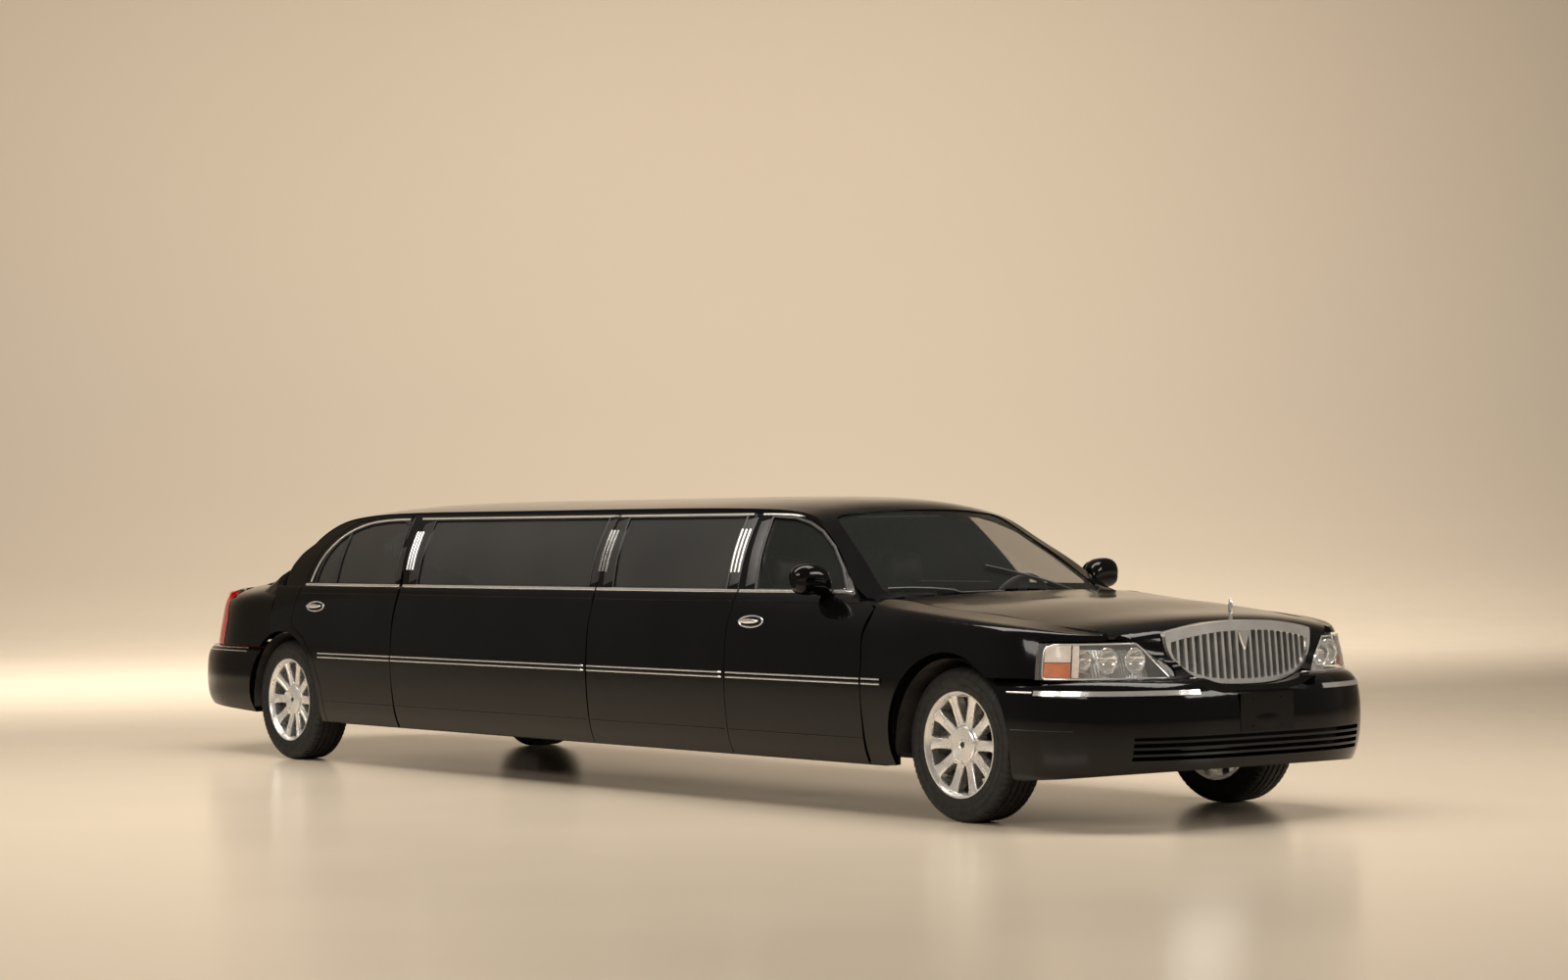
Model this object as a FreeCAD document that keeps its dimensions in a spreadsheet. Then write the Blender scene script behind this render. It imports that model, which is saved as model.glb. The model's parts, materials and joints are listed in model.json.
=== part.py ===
import FreeCAD, Part
import math
import os
from FreeCAD import Placement, Rotation, Vector

# Stretch limousine. Row frame: +X forward, +Y to the car's left, +Z up.
# The origin is on the ground under the middle of the overall length.

doc = FreeCAD.newDocument("StretchLimousine")
sheet = doc.addObject("Spreadsheet::Sheet", "Sizes")

SIZES = [
    # Overall layout
    ("wheelbase", 6038),
    ("front_overhang", 1041),
    ("rear_overhang", 1440),
    ("body_half_width", 994),
    ("roof_height", 1499),
    ("ground_clearance", 240),
    ("front_track", 1610),
    ("rear_track", 1666),
    # Wheels and steering
    ("tyre_radius", 351),
    ("tyre_width", 225),
    ("bead_radius", 243),
    ("rim_radius", 242),
    ("rim_width", 214),
    ("hub_radius", 88),
    ("spoke_count", 10),
    ("kingpin_inset", 60),
    ("front_arch_radius", 420),
    ("rear_arch_radius", 405),
    # Body side
    ("door_inner_half_width", 895),
    ("sill_half_width", 878),
    ("belt_height", 1022),
    ("rail_height", 1425),
    ("rail_half_width", 686),
    ("cabin_narrowing", 130),
    ("roof_narrowing", 110),
    ("frame_wall", 45),
    ("skin_wall", 30),
    ("shut_gap", 5),
    ("seam_gap", 4),
    ("hinge_half_width", 950),
    ("hinge_setback", 51),
    ("hinge_sweep", 66),
    # Side shut lines, behind the front axle
    ("front_door_front", 605),
    ("front_door_rear", 1650),
    ("panel_seam", 2850),
    ("rear_door_front", 4800),
    ("rear_door_rear", 5914),
    ("shut_lean", 125),
    # Glass
    ("glass_wall", 6),
    ("glass_inset", 9),
    ("glass_clearance", 0.3),
    # Front end, ahead of the front axle
    ("nose_reach", 925),
    ("bumper_top", 662),
    ("lamp_bottom", 668),
    ("lamp_top", 821),
    ("grille_half_width", 455),
    ("grille_bottom", 625),
    ("grille_top", 907),
    ("grille_bars", 21),
    # Rear end, behind the rear axle
    ("tail_reach", 1270),
    ("rear_bumper_top", 655),
    # Number plate pads
    ("front_plate_height", 505),
    ("rear_plate_height", 440),
    ("plate_pad_width", 330),
    ("plate_pad_height", 168),
    ("plate_hole_width", 177.8),
    ("plate_hole_height", 120.6),
    ("plate_hole_radius", 3.5),
    # Under the cabin
    ("floor_height", 330),
    ("floor_wall", 20),
    ("rail_spacing", 430),
]

for row, (alias, value) in enumerate(SIZES, start=1):
    sheet.set("A%d" % row, alias)
    sheet.set("B%d" % row, str(value))
    sheet.setAlias("B%d" % row, alias)
doc.recompute()


def size(alias):
    return float(sheet.get(alias))


LENGTH = size("front_overhang") + size("wheelbase") + size("rear_overhang")
FRONT_AXLE = LENGTH / 2 - size("front_overhang")
REAR_AXLE = FRONT_AXLE - size("wheelbase")
FRONT_END = LENGTH / 2
REAR_END = -LENGTH / 2
AXLE_HEIGHT = size("tyre_radius")
HALF = size("body_half_width")
SHUT = size("shut_gap")


# General helpers


def blend(x, table):
    """Straight-line reading of a small table of (x, value) pairs in rising x."""
    if x <= table[0][0]:
        return table[0][1]
    for (x0, v0), (x1, v1) in zip(table, table[1:]):
        if x <= x1:
            return v0 + (v1 - v0) * (x - x0) / (x1 - x0)
    return table[-1][1]


def smooth_edge(points):
    curve = Part.BSplineCurve()
    count = len(points)
    curve.interpolate(Points=points, Parameters=[i / (count - 1) for i in range(count)])
    return curve.toShape()


def band_wire(outer, inner):
    """Closed section: a smooth outer line, a smooth inner line and two straight ends."""
    back = inner[::-1]
    return Part.Wire([
        smooth_edge(outer),
        Part.makeLine(outer[-1], back[0]),
        smooth_edge(back),
        Part.makeLine(back[-1], outer[0]),
    ])


def loft(wires, ruled=False):
    return Part.makeLoft(wires, True, ruled, False, 3)


def mirrored(shape):
    return shape.mirror(Vector(0, 0, 0), Vector(0, 1, 0))


def box(x0, x1, y0, y1, z0, z1):
    return Part.makeBox(x1 - x0, y1 - y0, z1 - z0, Vector(x0, y0, z0))


def cylinder_y(radius, x, z, y0, y1):
    return Part.makeCylinder(radius, y1 - y0, Vector(x, y0, z), Vector(0, 1, 0))


def cylinder_z(radius, x, y, z0, z1):
    return Part.makeCylinder(radius, z1 - z0, Vector(x, y, z0))


def both_sides(shape):
    return Part.makeCompound([shape, mirrored(shape)])


def biggest(shape):
    """The largest solid of a boolean's result."""
    return max(shape.Solids, key=lambda solid: solid.Volume)


def publish(label, shape):
    feature = doc.addObject("Part::Feature", label)
    feature.Label = label
    feature.Shape = shape
    return feature


# Outer form of the body, for the left side


def level(*pairs):
    return list(pairs)


SIDE_INSET = level((215, 62), (290, 34), (350, 20), (480, 5), (620, 0), (740, 5), (850, 17),
                   (950, 42), (1005, 62), (1022, 74))


def corner_half_width(reach, start, end, half, power):
    """Half width at a given reach past an axle, on a rounded corner that ends at `end`."""
    if reach <= start:
        return half
    along = min((reach - start) / (end - start), 1.0)
    return half * (1 - along ** power) ** (1 / power)


def cabin_narrowing(x):
    """How far the belt and window frames draw in towards the front pillars."""
    behind = FRONT_AXLE - x
    if behind < 600:
        return size("cabin_narrowing") * max(0.0, behind + 180) / 780
    return size("cabin_narrowing") * (max(0.0, 2100 - behind) / 1500) ** 1.4


def roof_narrowing(x):
    """How far the roof rail draws in towards the windshield header, beyond the belt."""
    return size("roof_narrowing") * (max(0.0, 2900 - (FRONT_AXLE - x)) / 1600) ** 1.5


def side_half_width(x, z):
    """Half width of the lower body side at a place along the car and a height."""
    lean = (max(0.0, z - 850) / (size("belt_height") - 850)) ** 2
    inset = blend(z, SIDE_INSET) + lean * cabin_narrowing(x)
    front = x - FRONT_AXLE
    rear = REAR_AXLE - x
    if front > 0:
        end = size("nose_reach") - 0.33 * max(0.0, z - 672)
        return corner_half_width(front, 250, end, HALF - inset, 2.8)
    if rear > 0:
        end = size("tail_reach") - 0.31 * (z - 880)
        return corner_half_width(rear, 400, end, HALF - inset - 0.016 * rear, 2.7)
    return HALF - inset


def frame_half_width(x, z):
    """Half width of the window frames, from the belt up to the roof rail."""
    rise = (z - size("belt_height")) / (size("rail_height") - size("belt_height"))
    belt = HALF - 76
    bow = 26 * math.sin(math.pi * rise)
    narrow = cabin_narrowing(x) + roof_narrowing(x) * rise + blend(x, level((REAR_AXLE - 500, 55), (REAR_AXLE, 12), (REAR_AXLE + 500, 0)))
    return belt + (size("rail_half_width") - belt) * rise + bow - narrow


def side_section(x, inner_half, bottom):
    """One closed section of the whole body side, lower wall and window frame together."""
    belt = size("belt_height")
    rail = size("rail_height")
    lower = [Vector(x, side_half_width(x, z), z)
             for z in (bottom, 290, 350, 480, 620, 740, 850, 950, 1005, belt)]
    upper = [Vector(x, frame_half_width(x, belt + (rail - belt) * i / 5), belt + (rail - belt) * i / 5)
             for i in range(6)]
    frame_in = [point - Vector(0, size("frame_wall"), 0) for point in upper]
    belt_in = frame_in[0]
    shelf = Vector(x, min(inner_half, belt_in.y), belt - 90)
    knee = Vector(x, inner_half, belt - 300)
    foot = Vector(x, inner_half, bottom)
    return Part.Wire([
        smooth_edge(lower),
        Part.makeLine(lower[-1], upper[0]),
        smooth_edge(upper),
        Part.makeLine(upper[-1], frame_in[-1]),
        smooth_edge(frame_in[::-1]),
        Part.makeLine(belt_in, shelf),
        Part.makeLine(shelf, knee),
        Part.makeLine(knee, foot),
        Part.makeLine(foot, lower[0]),
    ])


def skin_half_width(x, z):
    if z < size("belt_height"):
        return side_half_width(x, z)
    return frame_half_width(x, z)


# Cutters seen from the side. Each corner is (distance behind the front axle, height, bevel).
# The bevel slants the cut so that a door's rear edge is wider outside than inside.

OUTER_PLANE = HALF + 90
INNER_PLANE = 540


def grown(outline, gap):
    """The outline with every edge moved outwards by the gap."""
    count = len(outline)
    area = sum(outline[i][0] * outline[(i + 1) % count][1] - outline[(i + 1) % count][0] * outline[i][1]
               for i in range(count))
    turn = 1 if area > 0 else -1
    result = []
    for i in range(count):
        (ax, az), (bx, bz), (cx, cz) = [outline[(i + k) % count][:2] for k in (-1, 0, 1)]
        first = Vector(bz - az, ax - bx, 0).normalize() * turn
        second = Vector(cz - bz, bx - cx, 0).normalize() * turn
        corner = (first + second) * (gap / (1 + first.dot(second)))
        result.append((bx + corner.x, bz + corner.y, outline[i][2]))
    return result


def side_prism(outline):
    outer = []
    inner = []
    for behind, z, bevel in outline:
        x = FRONT_AXLE - behind
        skin = skin_half_width(x, min(max(z, 215), size("rail_height")))
        outer.append(Vector(x - bevel * (OUTER_PLANE - skin), OUTER_PLANE, z))
        inner.append(Vector(x + bevel * (skin - INNER_PLANE), INNER_PLANE, z))
    return loft([Part.makePolygon(outer + outer[:1]), Part.makePolygon(inner + inner[:1])], True)


def straight_prism(points, y0, y1):
    """A prism along Y from a side outline of (x, z) points."""
    wire = Part.makePolygon([Vector(x, y0, z) for x, z in points + points[:1]])
    return Part.Face(wire).extrude(Vector(0, y1 - y0, 0))


UNDER = size("ground_clearance") - 40
BELT = size("belt_height")
RAIL = size("rail_height")
DOOR_TOP = RAIL - SHUT - 6
LEAN = size("shut_lean")
FRONT_LEAN = LEAN + 80
WINDSHIELD_LINE = [(829, 1004), (950, 1112), (1120, 1238), (1300, 1340), (1400, 1376), (1500, 1396), (1625, 1410)]


def front_door_outline():
    front = size("front_door_front")
    rear = size("front_door_rear")
    pillar = [(behind, z, 0) for behind, z in WINDSHIELD_LINE]
    return [(front, UNDER, 0), (front, 962, 0)] + pillar + [
        (rear + FRONT_LEAN, DOOR_TOP, 0.36), (rear + 0.55 * FRONT_LEAN, 1250, 0.34),
        (rear + 15, BELT, 0.25), (rear, 940, 0.15), (rear, UNDER, 0.15)]


def rear_door_outline():
    front = size("rear_door_front")
    rear = size("rear_door_rear")
    behind_axle = size("wheelbase")
    clear = size("rear_arch_radius") + 50
    arch = []
    for degrees in (75, 55, 35, 15, 0):
        angle = math.radians(degrees)
        arch.append((behind_axle - clear * math.cos(angle), AXLE_HEIGHT + clear * math.sin(angle), 0.12))
    return [(front, UNDER, 0), (front, 985, 0), (front + 15, BELT, 0), (front + LEAN, 1250, 0.1),
            (front + 200, DOOR_TOP, 0.3), (front + 440, DOOR_TOP, 0.9),
            (rear - 324, 1392, 0.5), (rear - 228, 1352, 0.43), (rear - 144, 1300, 0.36), (rear - 92, 1244, 0.33),
            (rear - 58, 1180, 0.3), (rear - 36, 1100, 0.25), (rear - 29, BELT, 0.2),
            (rear + 8, 900, 0.15)] + arch + [(arch[-1][0], UNDER, 0.12)]


def window_outline(kind):
    sill = BELT + 22
    head = 1392
    panes = {
        "front_door": [(930, sill), (1030, 1136), (1172, 1235), (1320, 1310), (1440, 1352), (1560, 1378),
                       (1712, 1386), (1545, sill)],
        "panel_front": [(1779, sill), (1912, head), (2840, head), (2712, sill)],
        "panel_rear": [(2951, sill), (3034, head), (4740, head), (4632, sill)],
        "rear_door": [(4885, sill), (4964, 1250), (5022, 1376), (5085, head - 2), (5270, head - 5), (5440, 1370),
                      (5545, 1345), (5588, 1330), (5522, sill)],
        "quarter": [(5553, sill), (5614, 1318), (5663, 1289), (5700, 1255), (5730, 1212), (5750, 1160),
                    (5759, 1105), (5760, sill)],
    }
    return panes[kind]


def window_prism(kind, gap=0.0):
    outline = [(behind, z, 0) for behind, z in window_outline(kind)]
    if gap:
        outline = grown(outline, -gap)
    return side_prism(outline)


# Side walls

SIDE_STATIONS = [FRONT_AXLE - behind for behind in (560, 800, 1100, 1400, 1750, 2200, 2850, 4000, 4800, 5400, 5900, 6400)]
BOTTOM = size("ground_clearance")


def side_wall(inner_half):
    return loft([side_section(x, inner_half, BOTTOM) for x in SIDE_STATIONS])


def glass_wall():
    """A thin sheet inside the window frames' outer surface."""
    wires = []
    for x in SIDE_STATIONS:
        heights = [BELT + 6 + (RAIL - 10 - BELT) * i / 5 for i in range(6)]
        outer = [Vector(x, frame_half_width(x, z) - size("glass_inset"), z) for z in heights]
        inner = [point - Vector(0, size("glass_wall"), 0) for point in outer]
        wires.append(band_wire(outer, inner))
    return loft(wires)


def hinge_cylinder(front, clearance):
    x = FRONT_AXLE - front - size("hinge_setback")
    return cylinder_z(size("hinge_sweep") + clearance, x, size("hinge_half_width"), 100, 1500), x


def make_door(outline, panes, wall):
    door = wall.common(side_prism(outline))
    pivot, x = hinge_cylinder(outline[0][0], 0)
    ahead = box(x, x + 400, 500, 1200, 100, 1500).cut(pivot)
    door = door.cut(ahead)
    for pane in panes:
        door = door.cut(window_prism(pane))
    return biggest(door)


def make_panes(panes, sheet_wall):
    parts = [sheet_wall.common(window_prism(pane, size("glass_clearance"))) for pane in panes]
    return Part.makeCompound([solid for part in parts for solid in part.Solids])


door_wall = side_wall(size("door_inner_half_width"))
fixed_wall = side_wall(size("sill_half_width"))
side_glass_wall = glass_wall()

front_door = make_door(front_door_outline(), ["front_door"], door_wall)
rear_door = make_door(rear_door_outline(), ["rear_door", "quarter"], door_wall)
front_door_glass = make_panes(["front_door"], side_glass_wall)
rear_door_glass = make_panes(["rear_door", "quarter"], side_glass_wall)


def fixed_panel(front, rear, pane, front_lean, rear_lean, rear_mid=0.5):
    """A panel of the stretch between two shut lines, with its window cut out."""
    outline = [(front, UNDER, 0.15), (front, 940, 0.15), (front + 15, BELT, 0.25),
               (front + 0.55 * front_lean, 1250, 0.34), (front + front_lean, DOOR_TOP, 0.36),
               (front + front_lean, RAIL + 20, 0.36), (rear + rear_lean, RAIL + 20, 0),
               (rear + rear_mid * rear_lean, 1250, 0),
               (rear + 15, BELT, 0), (rear, 985, 0), (rear, UNDER, 0)]
    return biggest(fixed_wall.common(side_prism(outline)).cut(window_prism(pane)))


seam = size("seam_gap") / 2
panel_front = fixed_panel(size("front_door_rear") + SHUT, size("panel_seam") - seam, "panel_front",
                          FRONT_LEAN, LEAN)
PANEL_END = size("rear_door_front") + 8 + LEAN + 100
panel_rear = fixed_panel(size("panel_seam") + seam, size("rear_door_front") + 8, "panel_rear",
                         LEAN, LEAN + 100, 0.65)
rear_pivot, rear_pivot_x = hinge_cylinder(size("rear_door_front"), SHUT)
panel_rear = biggest(panel_rear.cut(rear_pivot).cut(side_prism(grown(rear_door_outline(), SHUT))))
panel_glass = make_panes(["panel_front", "panel_rear"], side_glass_wall)


# Panels that cross the car: hood, windshield, roof, rear window and trunk lid.
# Each station is (place along the car, height, tilt of the section plane, half width, edge drop).

ACROSS = (-1, -0.88, -0.66, -0.35, 0, 0.35, 0.66, 0.88, 1)


def cross_section(x, z, tilt, half, drop, top, bottom, power):
    angle = math.radians(tilt)
    out = Vector(math.sin(angle), 0, math.cos(angle))
    line = [Vector(x, share * half, z) - out * (drop * abs(share) ** power) for share in ACROSS]
    return band_wire([point + out * top for point in line], [point - out * bottom for point in line])


def cross_panel(stations, wall, power, spread=0.0, lift=0.0, ahead=1):
    """Loft over stations given as distances from the front axle, positive forward."""
    return loft([cross_section(FRONT_AXLE + place, z, tilt, half + spread, drop, lift, wall, power)
                 for place, z, tilt, half, drop in stations])


TOP_SHELL = [(-672, 1041, 32, 790, 105), (-800, 1122, 32, 788, 100), (-930, 1202, 31.5, 752, 92),
             (-1100, 1304, 31, 682, 80), (-1270, 1402, 29, 624, 72), (-1400, 1453, 16, 600, 66),
             (-1620, 1483, 5, 596, 60), (-1900, 1494, 1, 632, 58), (-2600, size("roof_height"), 0, 676, 56),
             (-4200, size("roof_height"), 0, 680, 56), (-5000, 1496, -2, 682, 54),
             (-5500, 1479, -8, 692, 52), (-5760, 1444, -20, 708, 50), (-5900, 1388, -36, 742, 50),
             (-6045, 1276, -38, 800, 55), (-6175, 1166, -38, 856, 60), (-6300, 1062, -38, 892, 66)]
HOOD = [(-600, 1039, 0, 801, 37), (-300, 1018, 0, 796, 46), (0, 996, 0, 788, 48), (300, 968, 0, 778, 48),
        (560, 942, 4, 762, 52), (700, 932, 12, 715, 60), (797, 916, 32, 665, 69), (868, 876, 58, 605, 70),
        (887, 806, 84, 555, 54), (902, 745, 90, 490, 35), (925, size("lamp_bottom"), 90, 425, 24)]
TRUNK = [(-6310, 1058, 0, 700, 18), (-6480, 1056, 0, 702, 22), (-6740, 1046, 0, 690, 26),
         (-6990, 1032, -4, 656, 34), (-7165, 1012, -22, 620, 50), (-7246, 966, -60, 592, 74),
         (-7298, 890, -78, 564, 78), (-7334, 790, -73, 562, 78), (-7374, size("rear_bumper_top") + 6, -73, 562, 78)]
PANEL_POWER = 2.3
HOOD_WALL = 26
LID_DEPTH = 48
ROOF_WALL = 24


def raked_prism(place, z, tilt, length, half_low, half_high, bow_low, bow_high, corner, trim=0.0):
    """A window opening cut square to its slope: low edge at (place, z), running up the slope.
    Both edges bow up the slope towards the sides, and the corners are rounded."""
    angle = math.radians(tilt)
    out = Vector(math.sin(angle), 0, math.cos(angle))
    up = Vector(-math.cos(angle), 0, math.sin(angle)) if tilt > 0 else Vector(math.cos(angle), 0, -math.sin(angle))
    base = Vector(FRONT_AXLE + place, 0, z) - out * 200
    low = half_low - trim
    high = half_high - trim
    rows = [(trim + bow_low * share ** 2, low * share) for share in (0, 0.3, 0.6, 0.8)]
    rows += [(trim + bow_low * 0.92, low - corner), (trim + bow_low + 0.3 * corner, low - 0.25 * corner),
             (bow_low + 1.2 * corner, low - 0.1 * corner)]
    rows += [(length + bow_high - 1.2 * corner, high + 0.1 * corner),
             (length + bow_high - 0.35 * corner - trim, high - 0.25 * corner)]
    rows += [(length - trim + bow_high * share ** 2, high * share) for share in (0.9, 0.7, 0.35, 0)]
    loop = [base + up * run + Vector(0, half, 0) for run, half in rows]
    loop += [base + up * run - Vector(0, half, 0) for run, half in reversed(rows[1:-1])]
    return Part.Face(Part.makePolygon(loop + loop[:1])).extrude(out * 400)


def shell_glass(stations, opening):
    sheet_of_glass = loft([cross_section(FRONT_AXLE + place, z, tilt, half, drop, -6, 6 + size("glass_wall"), PANEL_POWER)
                           for place, z, tilt, half, drop in stations])
    return biggest(sheet_of_glass.common(opening))


FRONT_OPENING = (-635, 1020, 30.9, 790, 692, 537, 95, 32, 55)
REAR_OPENING = (-6272, 1086, -38.5, 505, 705, 660, 25, 20, 60)

top_shell = cross_panel(TOP_SHELL, ROOF_WALL, PANEL_POWER)
roof = top_shell.cut(raked_prism(*FRONT_OPENING)).cut(raked_prism(*REAR_OPENING))
roof = biggest(roof.cut(box(FRONT_AXLE - 1000, FRONT_AXLE, -1200, 1200, 800, 1003)))
wind_glass = shell_glass(TOP_SHELL[:6], raked_prism(*FRONT_OPENING, size("glass_clearance")))
back_glass = shell_glass(TOP_SHELL[-6:], raked_prism(*REAR_OPENING, size("glass_clearance")))
roof_cutter = cross_panel(TOP_SHELL, ROOF_WALL + SHUT + 1.5, PANEL_POWER, SHUT, 60)
roof_seat = cross_panel(TOP_SHELL, ROOF_WALL + 0.6, PANEL_POWER, 1, 60)
pillar_seat = cross_panel(TOP_SHELL, ROOF_WALL + 2, PANEL_POWER, 3, 60)
hood_panel = cross_panel(HOOD, HOOD_WALL, PANEL_POWER)
hood_cutter = cross_panel(HOOD, LID_DEPTH, PANEL_POWER, SHUT, 40)


def cowl_edge(extra):
    """The region behind the hood's curved rear edge, seen from above."""
    points = [Vector(FRONT_AXLE - 405 - extra - 165 * (y / 800) ** 2, y, 600)
              for y in (-830, -600, -300, 0, 300, 600, 830)]
    edge = smooth_edge(points)
    back = Part.makePolygon([points[-1], Vector(FRONT_AXLE - 1500, 830, 600),
                             Vector(FRONT_AXLE - 1500, -830, 600), points[0]])
    return Part.Face(Part.Wire([edge] + back.Edges)).extrude(Vector(0, 0, 700))
trunk_panel = cross_panel(TRUNK, HOOD_WALL, PANEL_POWER)
trunk_panel = biggest(trunk_panel.cut(box(REAR_END, REAR_AXLE, -700, 700, 0, size("rear_bumper_top") + 8)))
trunk_cutter = cross_panel(TRUNK, LID_DEPTH, PANEL_POWER, SHUT, 40)

front_door = biggest(front_door.cut(roof_cutter))
rear_door = biggest(rear_door.cut(roof_cutter))
front_door_glass = front_door_glass.cut(roof_cutter)
panel_front = biggest(panel_front.cut(roof_seat))
panel_rear = biggest(panel_rear.cut(roof_seat))
SIDES = (("left", lambda shape: shape), ("right", mirrored))
for side, place in SIDES:
    publish("door_front_glass_" + side, place(front_door_glass))
    publish("door_rear_glass_" + side, place(rear_door_glass))
    publish("side_panel_" + side, place(Part.makeCompound([panel_front, panel_rear])))
publish("side_glass", both_sides(panel_glass))
publish("roof", roof)
publish("windshield", wind_glass)
publish("rear_window", back_glass)
publish("trunk_lid", trunk_panel)


# Front fenders and rear quarters

FENDER_CREST = level((-610, 950), (-300, 930), (0, 908), (300, 889), (480, 872), (600, 858), (760, 842))
HOOD_EDGE_HEIGHT = level((-610, 1002), (-300, 972), (0, 948), (300, 920), (480, 902), (600, 880), (760, 858))
HOOD_EDGE_WIDTH = level((-610, 801), (0, 788), (300, 778), (560, 762), (700, 715), (790, 665))


def shoulder_section(x, crest, edge_y, edge_z, wall, bottom):
    """A fender or quarter section: body side, rounded crest and a strip in towards the lid."""
    scale = (948 - 620) / (crest - 620)
    outer = [Vector(x, side_half_width(x, z), z) for z in (bottom, 290, 350, 480, 620)]
    for share in (0.36, 0.7, 1):
        z = 620 + (crest - 620) * share
        inset = blend(620 + (z - 620) * scale, SIDE_INSET) - blend(z, SIDE_INSET)
        outer.append(Vector(x, side_half_width(x, z) - inset, z))
    last = outer[-1]
    outer.append(Vector(x, last.y - 0.38 * (last.y - edge_y), last.z + 0.62 * (edge_z - last.z)))
    outer.append(Vector(x, edge_y, edge_z))
    outer.append(Vector(x, edge_y - 80, edge_z + 9))
    inner = []
    for i, point in enumerate(outer):
        before = outer[max(i - 1, 0)]
        after = outer[min(i + 1, len(outer) - 1)]
        along = (after - before).normalize()
        inner.append(point - Vector(0, along.z, -along.y) * wall)
    return band_wire(outer, inner)


FENDER_STATIONS = (-615, -450, -200, 50, 300, 430, 530, 620, 700, 740)
fender_wires = [shoulder_section(FRONT_AXLE + f, blend(f, FENDER_CREST), blend(f, HOOD_EDGE_WIDTH),
                                 blend(f, HOOD_EDGE_HEIGHT), size("skin_wall"), BOTTOM)
                for f in FENDER_STATIONS]
fender = loft(fender_wires)
front_wheel_well = cylinder_y(size("front_arch_radius"), FRONT_AXLE, AXLE_HEIGHT, 300, 1200)
front_pivot, front_pivot_x = hinge_cylinder(size("front_door_front"), SHUT)
lamp_space = box(FRONT_AXLE + 557, FRONT_AXLE + 1100, 0, 1200, 0, size("lamp_top") + 8)
bumper_space = box(FRONT_AXLE + 150, FRONT_AXLE + 1100, 0, 1200, 0, size("bumper_top") + SHUT)
for cutter in (front_wheel_well, front_pivot, lamp_space, bumper_space,
               side_prism(grown(front_door_outline(), SHUT)), hood_cutter, roof_seat):
    fender = biggest(fender.cut(cutter))


QUARTER_CREST = level((100, 948), (400, 944), (760, 925), (900, 915))
LID_EDGE_HEIGHT = level((100, 1046), (400, 1036), (760, 1016), (900, 1002))
LID_EDGE_WIDTH = level((100, 706), (440, 704), (700, 692), (900, 668))
QUARTER_STATIONS = (142, 300, 450, 600, 720, 820)
quarter_tail = loft([shoulder_section(REAR_AXLE - b, blend(b, QUARTER_CREST), blend(b, LID_EDGE_WIDTH),
                                      blend(b, LID_EDGE_HEIGHT), size("skin_wall"), BOTTOM)
                     for b in QUARTER_STATIONS])
quarter_front = fixed_wall.common(side_prism([
    (PANEL_END + seam, UNDER, 0), (PANEL_END + seam, RAIL + 20, 0), (5900, RAIL + 20, 0), (6011, 1280, 0),
    (6120, 1155, 0), (6180, 1070, 0), (6180, UNDER, 0)]))
quarter_front = quarter_front.cut(side_prism(grown(rear_door_outline(), SHUT))).cut(roof_seat)
rear_wheel_well = cylinder_y(size("rear_arch_radius"), REAR_AXLE, AXLE_HEIGHT, 300, 1200)
tail_space = straight_prism([(REAR_AXLE - 780, 1000), (REAR_AXLE - 915, size("rear_bumper_top") + 5),
                             (REAR_AXLE - 180, size("rear_bumper_top") + 5), (REAR_AXLE - 180, 100),
                             (REAR_AXLE - 1500, 100), (REAR_AXLE - 1500, 1000)], 0, 1200)
quarter = biggest(quarter_front).fuse(quarter_tail)
under_roof = box(REAR_AXLE - 290, REAR_AXLE + 100, 0, 698, 900, 1200)
lid_sweep = box(REAR_END, REAR_AXLE - 266, 0, 707, 1025, 1400)
for cutter in (under_roof, rear_wheel_well, tail_space, trunk_cutter, pillar_seat, lid_sweep):
    quarter = biggest(quarter.cut(cutter))

for side, place in SIDES:
    publish("fender_" + side, place(fender))
    publish("quarter_" + side, place(quarter))


# Bumpers: level sections of a rounded corner, lofted upwards


def corner_line(reach_start, reach_end, half, power, count=17):
    """Half of a rounded end seen from above, from the side round to the middle and back."""
    points = []
    for i in range(count):
        angle = math.pi * (i / (count - 1) - 0.5)
        sine = math.sin(angle)
        along = abs(math.cos(angle)) ** (2 / power)
        across = math.copysign(abs(sine) ** (2 / power), sine)
        points.append((reach_start + (reach_end - reach_start) * along, half * across))
    return points


def corner_shell(axle_x, sign, start, power, levels, wall):
    """A rounded wall across an end of the car; each level is (z, reach past the axle, half width)."""
    wires = []
    for z, end, half in levels:
        outer = [Vector(axle_x + sign * reach, y, z) for reach, y in corner_line(start, end, half, power)]
        inner = [Vector(axle_x + sign * reach, y, z)
                 for reach, y in corner_line(start, end - wall, half - wall * 0.8, power)]
        wires.append(band_wire(outer, inner))
    return loft(wires)


def bumper(axle_x, sign, end, half, profile, wall, power):
    levels = [(z, end - inset, half - 0.7 * inset) for z, inset in profile]
    return corner_shell(axle_x, sign, 200, power, levels, wall)


FRONT_BUMPER = level((215, 80), (250, 42), (320, 14), (430, 0), (540, 3), (600, 14), (640, 40), (662, 85))
REAR_BUMPER = level((250, 80), (290, 46), (350, 14), (440, 0), (540, 4), (600, 14), (635, 34), (655, 68))
front_bumper = bumper(FRONT_AXLE, 1, size("front_overhang"), HALF - 4, FRONT_BUMPER, 120, 3.0)
rear_bumper = bumper(REAR_AXLE, -1, size("rear_overhang"), HALF - 8, REAR_BUMPER, 170, 3.6)
front_bumper = biggest(front_bumper.cut(straight_prism(
    [(FRONT_AXLE + 300, 205), (FRONT_AXLE + 650, 228), (FRONT_AXLE + 1060, 268), (FRONT_AXLE + 1060, 100),
     (FRONT_AXLE + 300, 100)], -1100, 1100)))
rear_bumper = biggest(rear_bumper.cut(straight_prism(
    [(REAR_AXLE - 200, 256), (REAR_AXLE - 1000, 292), (REAR_END - 20, 326), (REAR_END - 20, 100),
     (REAR_AXLE - 200, 100)], -1100, 1100)))
front_wells = both_sides(front_wheel_well)
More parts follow.
